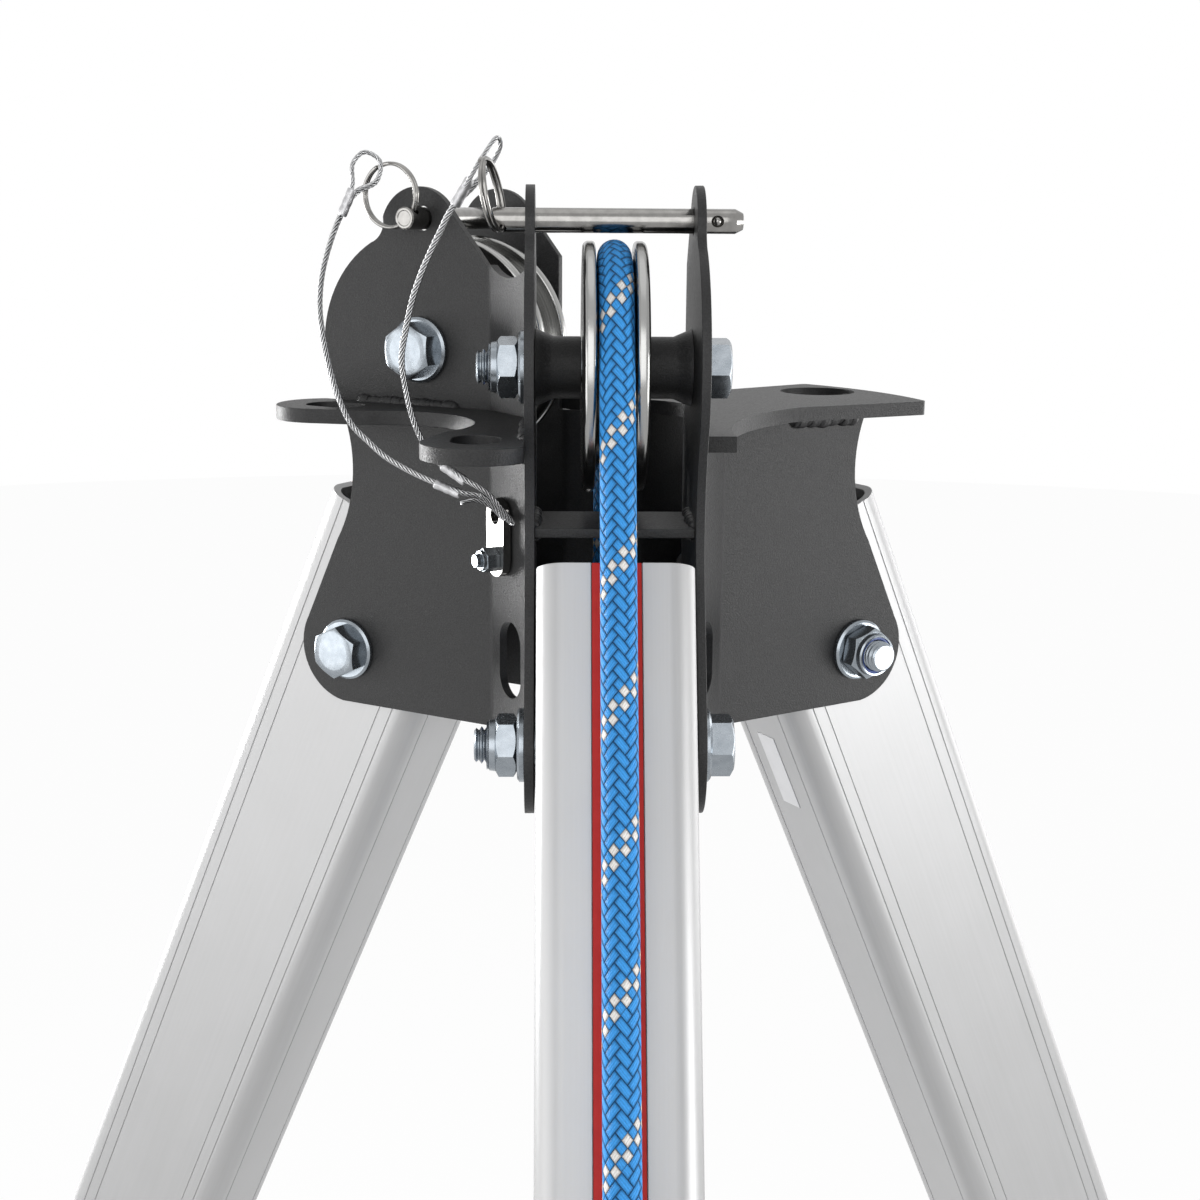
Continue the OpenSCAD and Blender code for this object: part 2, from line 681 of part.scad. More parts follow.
module collar(turn) color("#3a3b3e") at_leg(turn) difference() {
    union() {
        translate([0, 0, -leg_end - collar_h + collar_over]) leg_block(collar_wall, collar_h);
        translate([leg_face, 0, screw_z]) rotate([0, 90, 0]) cylinder(d = boss_d, h = collar_wall + boss_out);
    }
    translate([0, 0, -leg_end]) leg_block(0.05, collar_h);
    translate([0, 0, -leg_end - collar_h]) linear_extrude(collar_h + 1) inner_outline(seat_gap);
    translate([0, 0, screw_z]) rotate([0, 90, 0]) cylinder(r = screw_d / 2 + fit, h = 2 * leg_depth);
}

// a star knob with its clamp screw
module clamp_knob(turn) {
    screw_tip = leg_mid + inner_depth / 2 + seat_gap;
    knob_at = leg_face + collar_wall + boss_out + seat_gap;
    lobe_r = 8;
    hub_h = 6;
    knob_h = 16;
    color("#1b1b1d") at_leg(turn) translate([0, 0, screw_z]) rotate([0, 90, 0]) {
        translate([0, 0, screw_tip]) cylinder(d = screw_d, h = knob_at - screw_tip + 2);
        translate([0, 0, knob_at]) cylinder(d = boss_d - 4, h = hub_h);
        translate([0, 0, knob_at + hub_h]) linear_extrude(knob_h) {
            circle(d = knob_d - 1.4 * lobe_r);
            for (k = [0:5]) rotate(60 * k) translate([knob_d / 2 - lobe_r, 0]) circle(r = lobe_r);
        }
    }
}

// the inner leg slides in the outer leg
module inner_leg(turn) color("#a9abae") at_leg(turn)
    translate([0, 0, -inner_end]) linear_extrude(inner_len) difference() {
        inner_outline(0);
        inner_outline(-inner_wall);
    }

// the plug in the end of the inner leg, with the lug that the foot swings on
plug_in = 30;
plug_rim = 5;
lug_w = 36;

module foot_plug(turn) color("#303134") at_leg(turn) difference() {
    union() {
        translate([0, 0, -inner_end]) linear_extrude(plug_in) inner_outline(-inner_wall - fit);
        translate([0, 0, -inner_end - plug_rim]) linear_extrude(plug_rim) inner_outline(0);
        translate([-lug_w / 2, -lug_t / 2, -foot_reach]) cube([lug_w, lug_t, lug_drop - plug_rim + eps]);
        translate([0, 0, -foot_reach]) cross_bar(lug_w / 2, -lug_t / 2, lug_t / 2);
    }
    translate([0, 0, -foot_reach]) cross_bar(foot_bolt_d / 2 + fit, -lug_t, lug_t);
}

// the foot: a steel plate with two ears, on a rubber pad
pad_seat = 2;
ear_in = lug_t / 2 + seat_gap;
ear_out = ear_in + shoe_t;
shoe_ear_r = 14;

module shoe(turn) color("#3c3d40") at_foot(turn) difference() {
    union() {
        translate([0, 0, pad_t - pad_seat - foot_bolt_z]) cylinder(d = pad_d - 4, h = shoe_t);
        for (side = [0, 1]) mirror([0, side, 0]) upright(ear_in, shoe_t) {
            circle(r = shoe_ear_r);
            polygon([
                [-shoe_ear_r, 0], [shoe_ear_r, 0], [shoe_ear_r + 6, pad_t - foot_bolt_z + 1], [-shoe_ear_r - 6, pad_t - foot_bolt_z + 1]
            ]);
        }
    }
    cross_bar(foot_bolt_d / 2 + fit, -pad_d, pad_d);
}

groove_at = [14, 24, 34];
groove_w = 4;
groove_deep = 2;

module pad(turn) color("#222223") at_foot(turn) translate([0, 0, -foot_bolt_z]) difference() {
    cylinder(d = pad_d, h = pad_t);
    translate([0, 0, pad_t - pad_seat]) cylinder(d = pad_d - 4 + 2 * fit, h = pad_t);
    for (r = groove_at) rotate_extrude() translate([r, -1]) square([groove_w, 1 + groove_deep]);
}

foot_af = 17;
foot_head_h = 6.4;
foot_nut_h = 9;
foot_thread_out = 2;

module foot_bolt(turn) color("#b9c2ca") at_foot(turn) {
    cross_bar(foot_bolt_d / 2, -ear_out - foot_nut_h - foot_thread_out, ear_out);
    cross_hex(foot_af, ear_out, ear_out + foot_head_h);
    difference() {
        cross_hex(foot_af, -ear_out - foot_nut_h, -ear_out);
        cross_bar(foot_bolt_d / 2 + fit, -ear_out - foot_nut_h - 1, -ear_out + 1);
    }
}

// the bracket on the front leg that the rope's upper eye is pinned in
bracket_down = 215;
bracket_pin_d = 10;
eye_run_r = bracket_pin_d / 2 + seat_gap + rope_r;
bracket_pin_out = rope_out + rope_r + 0.2;
bracket_ear_in = 8.5;
bracket_ear_t = 4;
bracket_ear_r = 13;
bracket_base = [3, 46, 62];
bracket_base_low = 30;

module rope_bracket() color("#26272a") at_leg(FRONT) {
    pin_r = bracket_pin_d / 2;
    translate([leg_face, -bracket_base[1] / 2, -bracket_down - bracket_base_low]) cube(bracket_base);
    for (side = [0, 1]) mirror([0, side, 0]) upright(bracket_ear_in, bracket_ear_t) {
        translate([bracket_pin_out, -bracket_down]) circle(r = bracket_ear_r);
        polygon([
            [leg_face + 1, -bracket_down - 26], [leg_face + 1, -bracket_down + 26],
            [bracket_pin_out + 9, -bracket_down + 9.3], [bracket_pin_out + 9, -bracket_down - 9.3]
        ]);
    }
    translate([bracket_pin_out, 0, -bracket_down])
        cross_bar(pin_r, -bracket_ear_in - bracket_ear_t - 2, bracket_ear_in + bracket_ear_t + 2);
}

// the rope: an eye on the bracket, up the leg, over the front pulley and down to a second eye
function leg_point(o, down) =
    [0, -(pivot_u + o * cos(leg_angle) + down * sin(leg_angle)), o * sin(leg_angle) - down * cos(leg_angle)];
function wrap_point(deg) = [0, -(axle_u + rope_seat_r * cos(deg)), axle_z + rope_seat_r * sin(deg)];
function bracket_eye_point(deg) =
    leg_point(bracket_pin_out + eye_run_r * cos(deg), bracket_down + eye_run_r * sin(deg));

rope_low = -205;
eye_side = 6;
low_eye_y = -(axle_u - rope_seat_r) + eye_side;
low_eye_z = -252;
low_eye_r = 14;
function low_eye_point(deg) = [0, low_eye_y - low_eye_r * cos(deg), low_eye_z + low_eye_r * sin(deg)];

rope_route = concat(
    [leg_point(bracket_pin_out + 5.9, 148), leg_point(bracket_pin_out + 5.9, 186)],
    [for (deg = [0:36:180]) bracket_eye_point(deg)],
    [leg_point(rope_out, 186), leg_point(rope_out, 148), leg_point(rope_out, 90), leg_point(rope_out, 30), leg_point(rope_out, -30)],
    [for (k = [0:11]) wrap_point(leg_angle + (180 - leg_angle) * k / 11)],
    [for (z = [90, 40, -20, -80, -140, -190]) [0, low_eye_y - eye_side, z]],
    [[0, low_eye_y - eye_side, rope_low - 5]],
    [for (deg = [0:-36:-180]) low_eye_point(deg)],
    [[0, low_eye_y + eye_side, rope_low - 5], [0, low_eye_y + eye_side, rope_low + 30]]
);

module rope() color("#1f63ad") at_head() swept_tube(rope_route, rope_r, 10);

// stitched sleeves round the doubled rope above each eye
sleeve_wall = 1.2;

module rope_sleeves() color("#2a2a2c") {
    sleeve_len = 34;
    strand = 11.8;
    at_leg(FRONT) translate([bracket_pin_out, 0, -184]) linear_extrude(sleeve_len)
        slot(strand + rope_d + 2 * sleeve_wall, rope_d + 2 * sleeve_wall);
    at_head() translate([0, low_eye_y, rope_low]) linear_extrude(sleeve_len) rotate(90)
        slot(2 * eye_side + rope_d + 2 * sleeve_wall, rope_d + 2 * sleeve_wall);
}

// the snap hook under the head, hung in the rope's lower eye
hook_r = hook_rod_d / 2;
hook_top_z = low_eye_z - low_eye_r + rope_r + seat_gap + hook_r;
hook_mid_z = hook_top_z - hook_w / 2;
gate_r = 5;
gate_pin_d = 3;
gate_pin_up = 3;
gate_ear_r = 5.2;
gate_tongue_t = 4;

module at_hook() at_head() translate([0, low_eye_y, hook_mid_z]) children();
module at_gate() at_hook() translate([hook_w / 2, 0, gate_pin_up - hook_side]) children();
module hook_bow() rotate([90, 0, 0]) rotate_extrude(angle = 180) translate([hook_w / 2, 0]) circle(r = hook_r);

module snap_hook() color("#8f9399") {
    at_hook() {
        hook_bow();
        translate([0, 0, -hook_side]) mirror([0, 0, 1]) hook_bow();
        translate([-hook_w / 2, 0, -hook_side]) cylinder(r = hook_r, h = hook_side);
    }
    at_gate() {
        cross_bar(gate_pin_d / 2, -hook_r + 1, hook_r - 1);
        difference() {
            union() {
                translate([0, 0, -gate_pin_up]) cylinder(r = hook_r, h = gate_pin_up);
                cross_bar(gate_ear_r, 1 - hook_r, hook_r - 1);
            }
            translate([-hook_rod_d, -gate_tongue_t / 2 - seat_gap, 0.3 - gate_pin_up])
                cube([2 * hook_rod_d, gate_tongue_t + 2 * seat_gap, 3 * gate_ear_r]);
        }
    }
}

// the gate is hinged at its lower end and opens inward
gate_root_w = 5.2;

module snap_gate() color("#9da1a6") at_gate() difference() {
    union() {
        translate([0, 0, gate_ear_r + seat_gap])
            cylinder(r = gate_r, h = hook_side - gate_pin_up - gate_ear_r - 2 * seat_gap);
        translate([-gate_root_w / 2, -gate_tongue_t / 2, 0]) cube([gate_root_w, gate_tongue_t, gate_ear_r + 2]);
        cross_bar(gate_root_w / 2, -gate_tongue_t / 2, gate_tongue_t / 2);
    }
    cross_bar(gate_pin_d / 2 + fit, -gate_r, gate_r);
}

sleeve_h = 20;
sleeve_t = 2.4;

module screw_sleeve() color("#74787d") at_hook() translate([hook_w / 2, 0, -hook_side * 0.7]) difference() {
    cylinder(r = gate_r + sleeve_t, h = sleeve_h);
    translate([0, 0, -1]) cylinder(r = gate_r + fit, h = sleeve_h + 2);
}

head_plate_left();
head_plate_right();
head_plate_rear();
anchor_plate_left();
anchor_plate_right();
channel_braces();
pulley_spacers();
leg_stops();
head_bolts();
head_lock_nuts();
head_washers();
lanyard_tabs();
lanyard_screw();
lanyard_nut();
pulley(FRONT);  // pulley_front
pulley(LEFT);  // pulley_left
pulley_bush(FRONT);  // pulley_bush_front
pulley_bush(LEFT);  // pulley_bush_left
pin_front();
pin_left();
ring_front();
ring_left();
lanyard_front();
lanyard_left();
ferrules_front();
ferrules_left();
outer_leg(FRONT);  // outer_leg_front
outer_leg(LEFT);  // outer_leg_left
outer_leg(RIGHT);  // outer_leg_right
stripe(FRONT);  // stripe_front
stripe(LEFT);  // stripe_left
stripe(RIGHT);  // stripe_right
label_right();
collar(FRONT);  // collar_front
collar(LEFT);  // collar_left
collar(RIGHT);  // collar_right
clamp_knob(FRONT);  // clamp_knob_front
clamp_knob(LEFT);  // clamp_knob_left
clamp_knob(RIGHT);  // clamp_knob_right
inner_leg(FRONT);  // inner_leg_front
inner_leg(LEFT);  // inner_leg_left
inner_leg(RIGHT);  // inner_leg_right
foot_plug(FRONT);  // foot_plug_front
foot_plug(LEFT);  // foot_plug_left
foot_plug(RIGHT);  // foot_plug_right
shoe(FRONT);  // shoe_front
shoe(LEFT);  // shoe_left
shoe(RIGHT);  // shoe_right
pad(FRONT);  // pad_front
pad(LEFT);  // pad_left
pad(RIGHT);  // pad_right
foot_bolt(FRONT);  // foot_bolt_front
foot_bolt(LEFT);  // foot_bolt_left
foot_bolt(RIGHT);  // foot_bolt_right
rope();
rope_sleeves();
rope_bracket();
snap_hook();
snap_gate();
screw_sleeve();
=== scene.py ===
# Rescue tripod: a welded steel head with two rope pulleys, on three telescopic aluminium legs.
import json
import math
import bpy
from mathutils import Matrix, Vector

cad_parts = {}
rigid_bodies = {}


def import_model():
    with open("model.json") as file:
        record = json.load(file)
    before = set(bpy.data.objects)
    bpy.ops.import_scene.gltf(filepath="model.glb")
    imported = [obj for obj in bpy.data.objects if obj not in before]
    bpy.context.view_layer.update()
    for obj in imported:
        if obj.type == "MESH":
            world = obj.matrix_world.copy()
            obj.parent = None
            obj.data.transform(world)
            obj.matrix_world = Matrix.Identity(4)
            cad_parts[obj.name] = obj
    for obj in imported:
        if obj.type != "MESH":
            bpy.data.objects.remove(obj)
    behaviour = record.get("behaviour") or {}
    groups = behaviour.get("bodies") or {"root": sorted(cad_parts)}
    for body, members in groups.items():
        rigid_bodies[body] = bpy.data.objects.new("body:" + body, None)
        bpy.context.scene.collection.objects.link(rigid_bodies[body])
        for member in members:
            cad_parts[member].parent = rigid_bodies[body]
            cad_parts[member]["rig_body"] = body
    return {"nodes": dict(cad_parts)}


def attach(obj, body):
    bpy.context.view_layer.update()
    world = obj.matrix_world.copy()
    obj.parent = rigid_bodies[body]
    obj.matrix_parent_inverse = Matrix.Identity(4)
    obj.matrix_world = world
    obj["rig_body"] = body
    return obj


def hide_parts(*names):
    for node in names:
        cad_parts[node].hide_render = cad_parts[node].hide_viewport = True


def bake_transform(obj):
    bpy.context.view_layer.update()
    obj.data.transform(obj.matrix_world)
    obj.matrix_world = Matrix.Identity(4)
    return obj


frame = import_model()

bpy.ops.object.select_all(action="DESELECT")
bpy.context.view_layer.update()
scene = bpy.context.scene
scene.view_settings.view_transform = "Standard"

# Camera
# It stands in front of the head, a little above the anchor plates, and looks down by 13 degrees.
camera = bpy.data.objects.new("camera", bpy.data.cameras.new("camera"))
scene.collection.objects.link(camera)
camera.data.sensor_width = 36
camera.data.lens = 51.17
camera.matrix_world = (
    Matrix.Translation((-0.018554, -0.462927, 1.433509))
    @ Matrix.Rotation(-0.0260, 4, "Z")
    @ Matrix.Rotation(math.pi / 2 - 0.2244, 4, "X")
    @ Matrix.Rotation(0.0075, 4, "Z")
)
scene.camera = camera


# Studio
# A white room: a large soft lamp in front, one at each side, a weak one overhead, two behind that
# draw the edges, and a pale floor that keeps the shadow. The world is white to the camera.
class Line:
    """A value on its way through a node tree. Arithmetic on it adds Math nodes."""

    def __init__(self, tree, socket=None):
        self.tree, self.socket = tree, socket

    def add(self, kind, settings=None, sockets=None, out=0):
        made = self.tree.nodes.new("ShaderNode" + kind)
        for name, value in (settings or {}).items():
            setattr(made, name, value)
        for name, value in (sockets or {}).items():
            if isinstance(value, Line):
                self.tree.links.new(value.socket, made.inputs[name])
            else:
                made.inputs[name].default_value = value
        return Line(self.tree, made.outputs[out])

    def maths(self, operation, *values):
        return self.add("Math", {"operation": operation}, dict(enumerate(values)))

    def __add__(self, other):
        return self.maths("ADD", self, other)

    def __radd__(self, other):
        return self.maths("ADD", other, self)

    def __sub__(self, other):
        return self.maths("SUBTRACT", self, other)

    def __rsub__(self, other):
        return self.maths("SUBTRACT", other, self)

    def __mul__(self, other):
        return self.maths("MULTIPLY", self, other)

    def __rmul__(self, other):
        return self.maths("MULTIPLY", other, self)

    def __truediv__(self, other):
        return self.maths("DIVIDE", self, other)

    def __lt__(self, other):
        return self.maths("LESS_THAN", self, other)


def seen_rays(start):
    """1 for the rays that end in the picture, straight, mirrored or through glass, and 0 for others."""
    kinds = ("Is Camera Ray", "Is Glossy Ray", "Is Transmission Ray")
    rays = [start.add("LightPath", out=kind) for kind in kinds]
    return start.maths("MAXIMUM", start.maths("MAXIMUM", rays[0], rays[1]), rays[2])


fill_light = 0.22
world = bpy.data.worlds.new("white_room")
world.use_nodes = True
scene.world = world
sky = world.node_tree.nodes["Background"]
sky.inputs["Color"].default_value = (1, 1, 1, 1)
strength = fill_light + (1 - fill_light) * seen_rays(Line(world.node_tree))
world.node_tree.links.new(strength.socket, sky.inputs["Strength"])

head_at = Vector((0, 0.166788, 1.264265))
for name, place, size, power in [
    ("lamp_front", (-0.4, -2.4, 2.1), 2.2, 28),
    ("lamp_left", (-2.1, -0.75, 1.15), 2.0, 29),
    ("lamp_right", (2.1, -0.75, 1.15), 1.1, 34),
    ("lamp_over", (0.1, 0.3, 3.2), 1.4, 3),
    ("lamp_back_left", (-2.0, 1.5, 1.1), 0.8, 50),
    ("lamp_back_right", (2.0, 1.5, 1.1), 1.3, 16),
]:
    lamp = bpy.data.objects.new(name, bpy.data.lights.new(name, "AREA"))
    lamp.data.size, lamp.data.energy = size, power
    lamp.location = place
    lamp.rotation_euler = (head_at - Vector(place)).to_track_quat("-Z", "Y").to_euler()
    scene.collection.objects.link(lamp)

bpy.ops.mesh.primitive_circle_add(vertices=64, radius=9, fill_type="NGON")
floor = bpy.context.object
floor.name = "floor"
pale = bpy.data.materials.new("pale_floor")
pale.use_nodes = True
pale.node_tree.nodes.remove(pale.node_tree.nodes["Principled BSDF"])
ground = Line(pale.node_tree)
seen = seen_rays(ground)
lit = ground.add("BsdfDiffuse", sockets={"Color": (0.66, 0.66, 0.66, 1)})
white = ground.add("Emission", sockets={"Color": (1, 1, 1, 1), "Strength": 1})
mixed = ground.add("MixShader", sockets={0: 0.97 * seen, 1: lit, 2: white})
pale.node_tree.links.new(mixed.socket, pale.node_tree.nodes["Material Output"].inputs["Surface"])
floor.data.materials.append(pale)


# Rope
# A braided rope, 11.2 mm thick. It is sewn in an eye on the front leg's bracket, lies up the leg
# and over the front pulley, and ends in a second sewn eye, which carries the snap hook.
def finish(name, **looks):
    """A Principled material. Its looks are numbers, colours, or lines of its own node tree."""
    material = bpy.data.materials.new(name)
    material.use_nodes = True
    start = Line(material.node_tree)
    shader = material.node_tree.nodes["Principled BSDF"]
    for look, value in looks.items():
        socket = shader.inputs[look.replace("_", " ")]
        value = value(start) if callable(value) else value
        if isinstance(value, Line):
            material.node_tree.links.new(value.socket, socket)
        else:
            socket.default_value = value
    return material


def shades(start, mask, dark, light):
    """A colour between two, by a mask."""
    return start.add("Mix", {"data_type": "RGBA"}, {0: mask, 6: (*dark, 1), 7: (*light, 1)}, out=2)


def relief(start, height, depth, strength=1.0):
    return start.add("Bump", sockets={"Height": height, "Distance": depth, "Strength": strength})


def grain(start, scale, detail=2.0, stretch=None, turn=(0, 0, 0)):
    """Noise on the piece's own coordinates, in metres, drawn out along an axis where stretch asks."""
    place = start.add("TexCoord", out="Object")
    if stretch:
        sockets = {"Vector": place, "Rotation": turn, "Scale": stretch}
        place = start.add("Mapping", {"vector_type": "TEXTURE"}, sockets)
    return start.add("TexNoise", sockets={"Vector": place, "Scale": scale, "Detail": detail})


def along(points, step):
    """Points at even steps on a smooth curve through the given ones."""
    rows = [2 * points[0] - points[1], *points, 2 * points[-1] - points[-2]]
    fine = []
    for a, b, c, d in zip(rows, rows[1:], rows[2:], rows[3:]):
        knots = [0.0]
        for p, q in ((a, b), (b, c), (c, d)):
            knots.append(knots[-1] + max((q - p).length, 1e-7) ** 0.5)
        t0, t1, t2, t3 = knots
        count = max(int((c - b).length / step), 1)
        for k in range(count):
            t = t1 + (t2 - t1) * k / count
            ab = a.lerp(b, (t - t0) / (t1 - t0))
            bc = b.lerp(c, (t - t1) / (t2 - t1))
            cd = c.lerp(d, (t - t2) / (t3 - t2))
            before = ab.lerp(bc, (t - t0) / (t2 - t0))
            after = bc.lerp(cd, (t - t1) / (t3 - t1))
            fine.append(before.lerp(after, (t - t1) / (t2 - t1)))
    return [*fine, points[-1]]


def carried_frames(route):
    """Each point's direction, and two cross directions that don't twist along the route."""
    out, side = [], Vector((0.31, 0.43, 0.85))
    for i, p in enumerate(route):
        ahead = (route[min(i + 1, len(route) - 1)] - route[max(i - 1, 0)]).normalized()
        side = (side - ahead * side.dot(ahead)).normalized()
        out.append((p, ahead, side, ahead.cross(side)))
    return out


def tubes(name, routes, radius, sides):
    """One mesh of round tubes, with a map of turns round them and metres along them."""
    points, faces, marks = [], [], []
    for route in routes:
        base, walked = len(points), 0.0
        for i, (p, ahead, side, across) in enumerate(carried_frames(route)):
            before = walked
            walked += (p - route[i - 1]).length if i else 0
            thick = radius(walked) if callable(radius) else radius
            for k in range(sides):
                a = math.tau * k / sides
                points.append(p + thick * (math.cos(a) * side + math.sin(a) * across))
                if i:
                    n, beside = base + (i - 1) * sides, (k + 1) % sides
                    faces.append((n + k, n + beside, n + sides + beside, n + sides + k))
                    for turn, run in ((k, before), (k + 1, before), (k + 1, walked), (k, walked)):
                        marks.append((turn / sides, run))
        for ring, order in ((base, -1), (len(points) - sides, 1)):
            faces.append(tuple(range(ring, ring + sides))[::order])
            marks += [(0, 0)] * sides
    mesh = bpy.data.meshes.new(name)
    mesh.from_pydata(points, [], faces)
    uv = mesh.uv_layers.new(name="round_and_along")
    for loop, mark in zip(uv.data, marks):
        loop.uv = mark
    piece = bpy.data.objects.new(name, mesh)
    scene.collection.objects.link(piece)
    for face in mesh.polygons:
        face.use_smooth = len(face.vertices) == 4
    return piece


lean = math.radians(25)
pivot_u = 0.1
axle_u, axle_z = 0.0632, 0.1187
rope_d = 0.0112


def leg_point(out, down):
    return head_at + Vector((
        0,
        -(pivot_u + out * math.cos(lean) + down * math.sin(lean)),
        out * math.sin(lean) - down * math.cos(lean),
    ))


def half_turn(r):
    """Six steps of half a circle of radius r."""
    return [(r * math.cos(k * math.pi / 5), r * math.sin(k * math.pi / 5)) for k in range(6)]


wrap_r, leg_eye_r, hook_eye_r = 0.0359, 0.0109, 0.014
rope_points = [leg_point(0.0645, down) for down in (0.148, 0.186)]
rope_points += [leg_point(0.0586 + x, 0.215 + y) for x, y in half_turn(leg_eye_r)]
rope_points += [leg_point(0.0528, down) for down in (0.186, 0.148, 0.090, 0.030, -0.030)]
for k in range(12):
    a = lean + (math.pi - lean) * k / 11
    y, z = axle_u + wrap_r * math.cos(a), axle_z + wrap_r * math.sin(a)
    rope_points.append(head_at + Vector((0, -y, z)))
falling = (0.090, 0.040, -0.020, -0.080, -0.140, -0.190, -0.210)
rope_points += [head_at + Vector((0, -0.0273, z)) for z in falling]
rope_points += [head_at + Vector((0, -0.0213 - y, -0.252 - z)) for y, z in half_turn(hook_eye_r)]
rope_points += [head_at + Vector((0, -0.0153, z)) for z in (-0.210, -0.175)]
rope_route = along(rope_points, 0.0025)
rope = tubes("rope_braid", [rope_route], rope_d / 2, 28)


def braid(start):
    """Height, ribs and tracer mask of a braid: ten strands each way, over two and under two, and two
    white ones that go over one and under one."""
    strands, pick = 10, 0.0042
    uv = start.add("SeparateXYZ", sockets={0: start.add("UVMap", {"uv_map": "round_and_along"})})
    turn, run = uv, Line(start.tree, uv.socket.node.outputs[1])
    left = turn * strands + run / pick
    right = turn * strands - run / pick
    column = left.maths("FLOOR", left) + left.maths("FLOOR", right)
    second = column.maths("FLOORED_MODULO", column, 2.0)
    own = right.maths("FLOORED_MODULO", right.maths("FLOOR", right), float(strands)) < 1.5
    rising = (column.maths("FLOORED_MODULO", column, 4.0) < 1.5) * (1.0 - own) + second * own
    parts = [s.maths("FRACT", s) for s in (left, right)]
    over = parts[0] + rising * (parts[1] - parts[0])
    ahead = parts[1] + rising * (parts[0] - parts[1])
    ahead = ahead * own + (1.0 - own) * 0.5 * (ahead + second)
    side = over.maths("ABSOLUTE", 2.0 * over - 1.0)
    ends = ahead.maths("ABSOLUTE", 2.0 * ahead - 1.0)
    plump = (1.0 - side.maths("POWER", side, 4.5)) * (1.0 - ends.maths("POWER", ends, 7.0))
    ribs = over.maths("ABSOLUTE", over.maths("SINE", 3.5 * math.pi * over + 1.2 * ahead))
    return plump.maths("POWER", plump, 0.6), ribs, own * second


def rope_colour(start):
    plump, rib, tracer = braid(start)
    fibre = grain(start, 1300, 3)
    # Painted shade and painted highlight: each cell's colour follows the braid's relief, dark in the gaps
    # between strands and light on its crown and ribs, for the blue strands and the white tracers alike;
    # the fibre grain adds random tone.
    lit = plump * (0.60 + 0.24 * rib + 0.34 * fibre)
    lit = lit.maths("MINIMUM", lit, 1.0)
    blue = shades(start, lit, (0.002, 0.035, 0.13), (0.052, 0.37, 0.90))
    white = shades(start, lit, (0.30, 0.29, 0.28), (0.92, 0.90, 0.87))
    return start.add("Mix", {"data_type": "RGBA"}, {0: tracer, 6: blue, 7: white}, out=2)


def rope_height(start):
    plump, rib, tracer = braid(start)
    return plump + 0.10 * rib + 0.12 * grain(start, 2400, 2)


rope_blue = finish(
    "rope_blue",
    Base_Color=rope_colour,
    Roughness=0.62,
    Specular_IOR_Level=0.3,
    Normal=lambda s: relief(s, rope_height(s), 0.0013, 1.0),
)
rope.data.materials.append(rope_blue)
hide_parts("rope")
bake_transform(rope)
rope_length = sum((b - a).length for a, b in zip(rope_route, rope_route[1:]))


# Lanyards
# Galvanised steel wire ropes, 2.2 mm thick, one to each quick-release pin: five strands laid round
# a core, with an eye at both ends, drawn thinner where it is bent, that a crimped ferrule closes.
wire_d, strand_r, lay = 0.0022, 0.00036, 0.0095
# how far from its ends a wire is drawn thinner, and by how much
pin_eye_run, tab_eye_run, drawn = 0.036, 0.030, 0.76
lanyard_routes = {
    "lanyard_left": [
        (-92, -8, 172), (-91, -7, 178), (-91, -4, 185), (-87, 0, 189), (-82, 1, 186),
        (-83, -2, 179), (-90, -5, 175), (-95, -6, 168), (-99, -9, 158), (-102, -11, 147),
        (-103, -13, 136), (-102, -15, 126), (-100, -16, 115), (-96, -18, 102), (-92, -19, 94),
        (-86, -20, 88), (-80, -22, 83), (-71, -24, 78), (-61, -27, 74), (-52, -29, 71),
        (-46, -29, 70), (-41, -29, 67), (-37, -27, 62), (-38, -24, 61), (-42, -24, 65),
        (-48, -26, 68), (-53, -27, 67),
    ],
    "lanyard_front": [
        (-49, -56, 176), (-46, -59, 181), (-42, -61, 187), (-38, -60, 192), (-37, -57, 190),
        (-40, -54, 184), (-46, -54, 177), (-53, -53, 170), (-58, -50, 161), (-63, -47, 151),
        (-67, -44, 141), (-70, -41, 130), (-72, -38, 119), (-71, -35, 108), (-69, -33, 98),
        (-66, -31, 90), (-60, -31, 82), (-52, -33, 77), (-46, -35, 74), (-42, -35, 71),
        (-38, -34, 66), (-34, -31, 61), (-35, -28, 60), (-40, -30, 66), (-46, -32, 71),
    ],
}
lanyard_ends = {
    "lanyard_left": ("pin_left", (-0.098, 0, 0.165), (-0.100, 0, 0.110)),
    "lanyard_front": ("pin_front", (-0.052, -0.053, 0.172), (-0.071, -0.036, 0.115)),
}


def slimmer(walked, length):
    """The wire's thickness at a place along it, as a share of its full one."""
    from_end = min(walked - pin_eye_run, length - tab_eye_run - walked)
    return drawn + (1 - drawn) * min(1.0, max(0.0, 0.5 + from_end / 0.008))


def strands(route, count, length):
    """The centre lines of strands laid round a route."""
    lines, walked = [[] for k in range(count)], 0.0
    for i, (p, ahead, side, across) in enumerate(carried_frames(route)):
        walked += (p - route[i - 1]).length if i else 0
        for k, line in enumerate(lines):
            a = math.tau * (k / count + walked / lay)
            out = slimmer(walked, length) * (wire_d / 2 - strand_r)
            line.append(p + out * (math.cos(a) * side + math.sin(a) * across))
    return lines


galvanised = finish(
    "galvanised_wire",
    Base_Color=lambda s: shades(s, grain(s, 900, 3), (0.24, 0.24, 0.245), (0.52, 0.525, 0.53)),
    Metallic=1.0,
    Roughness=lambda s: 0.16 + 0.15 * grain(s, 500),
    Normal=lambda s: relief(s, grain(s, 5000, 2), 0.00005, 0.5),
)
for name, points in lanyard_routes.items():
    route = along([head_at + Vector(p) / 1000 for p in points], 0.0009)
    length = sum((b - a).length for a, b in zip(route, route[1:]))
    wire = tubes(
        name + "_strands", strands(route, 5, length) + [route],
        lambda walked: strand_r * slimmer(walked, length), 8,
    )
    wire.data.materials.append(galvanised)
    pin_body, start, end = lanyard_ends[name]
    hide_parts(name)
    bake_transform(wire)


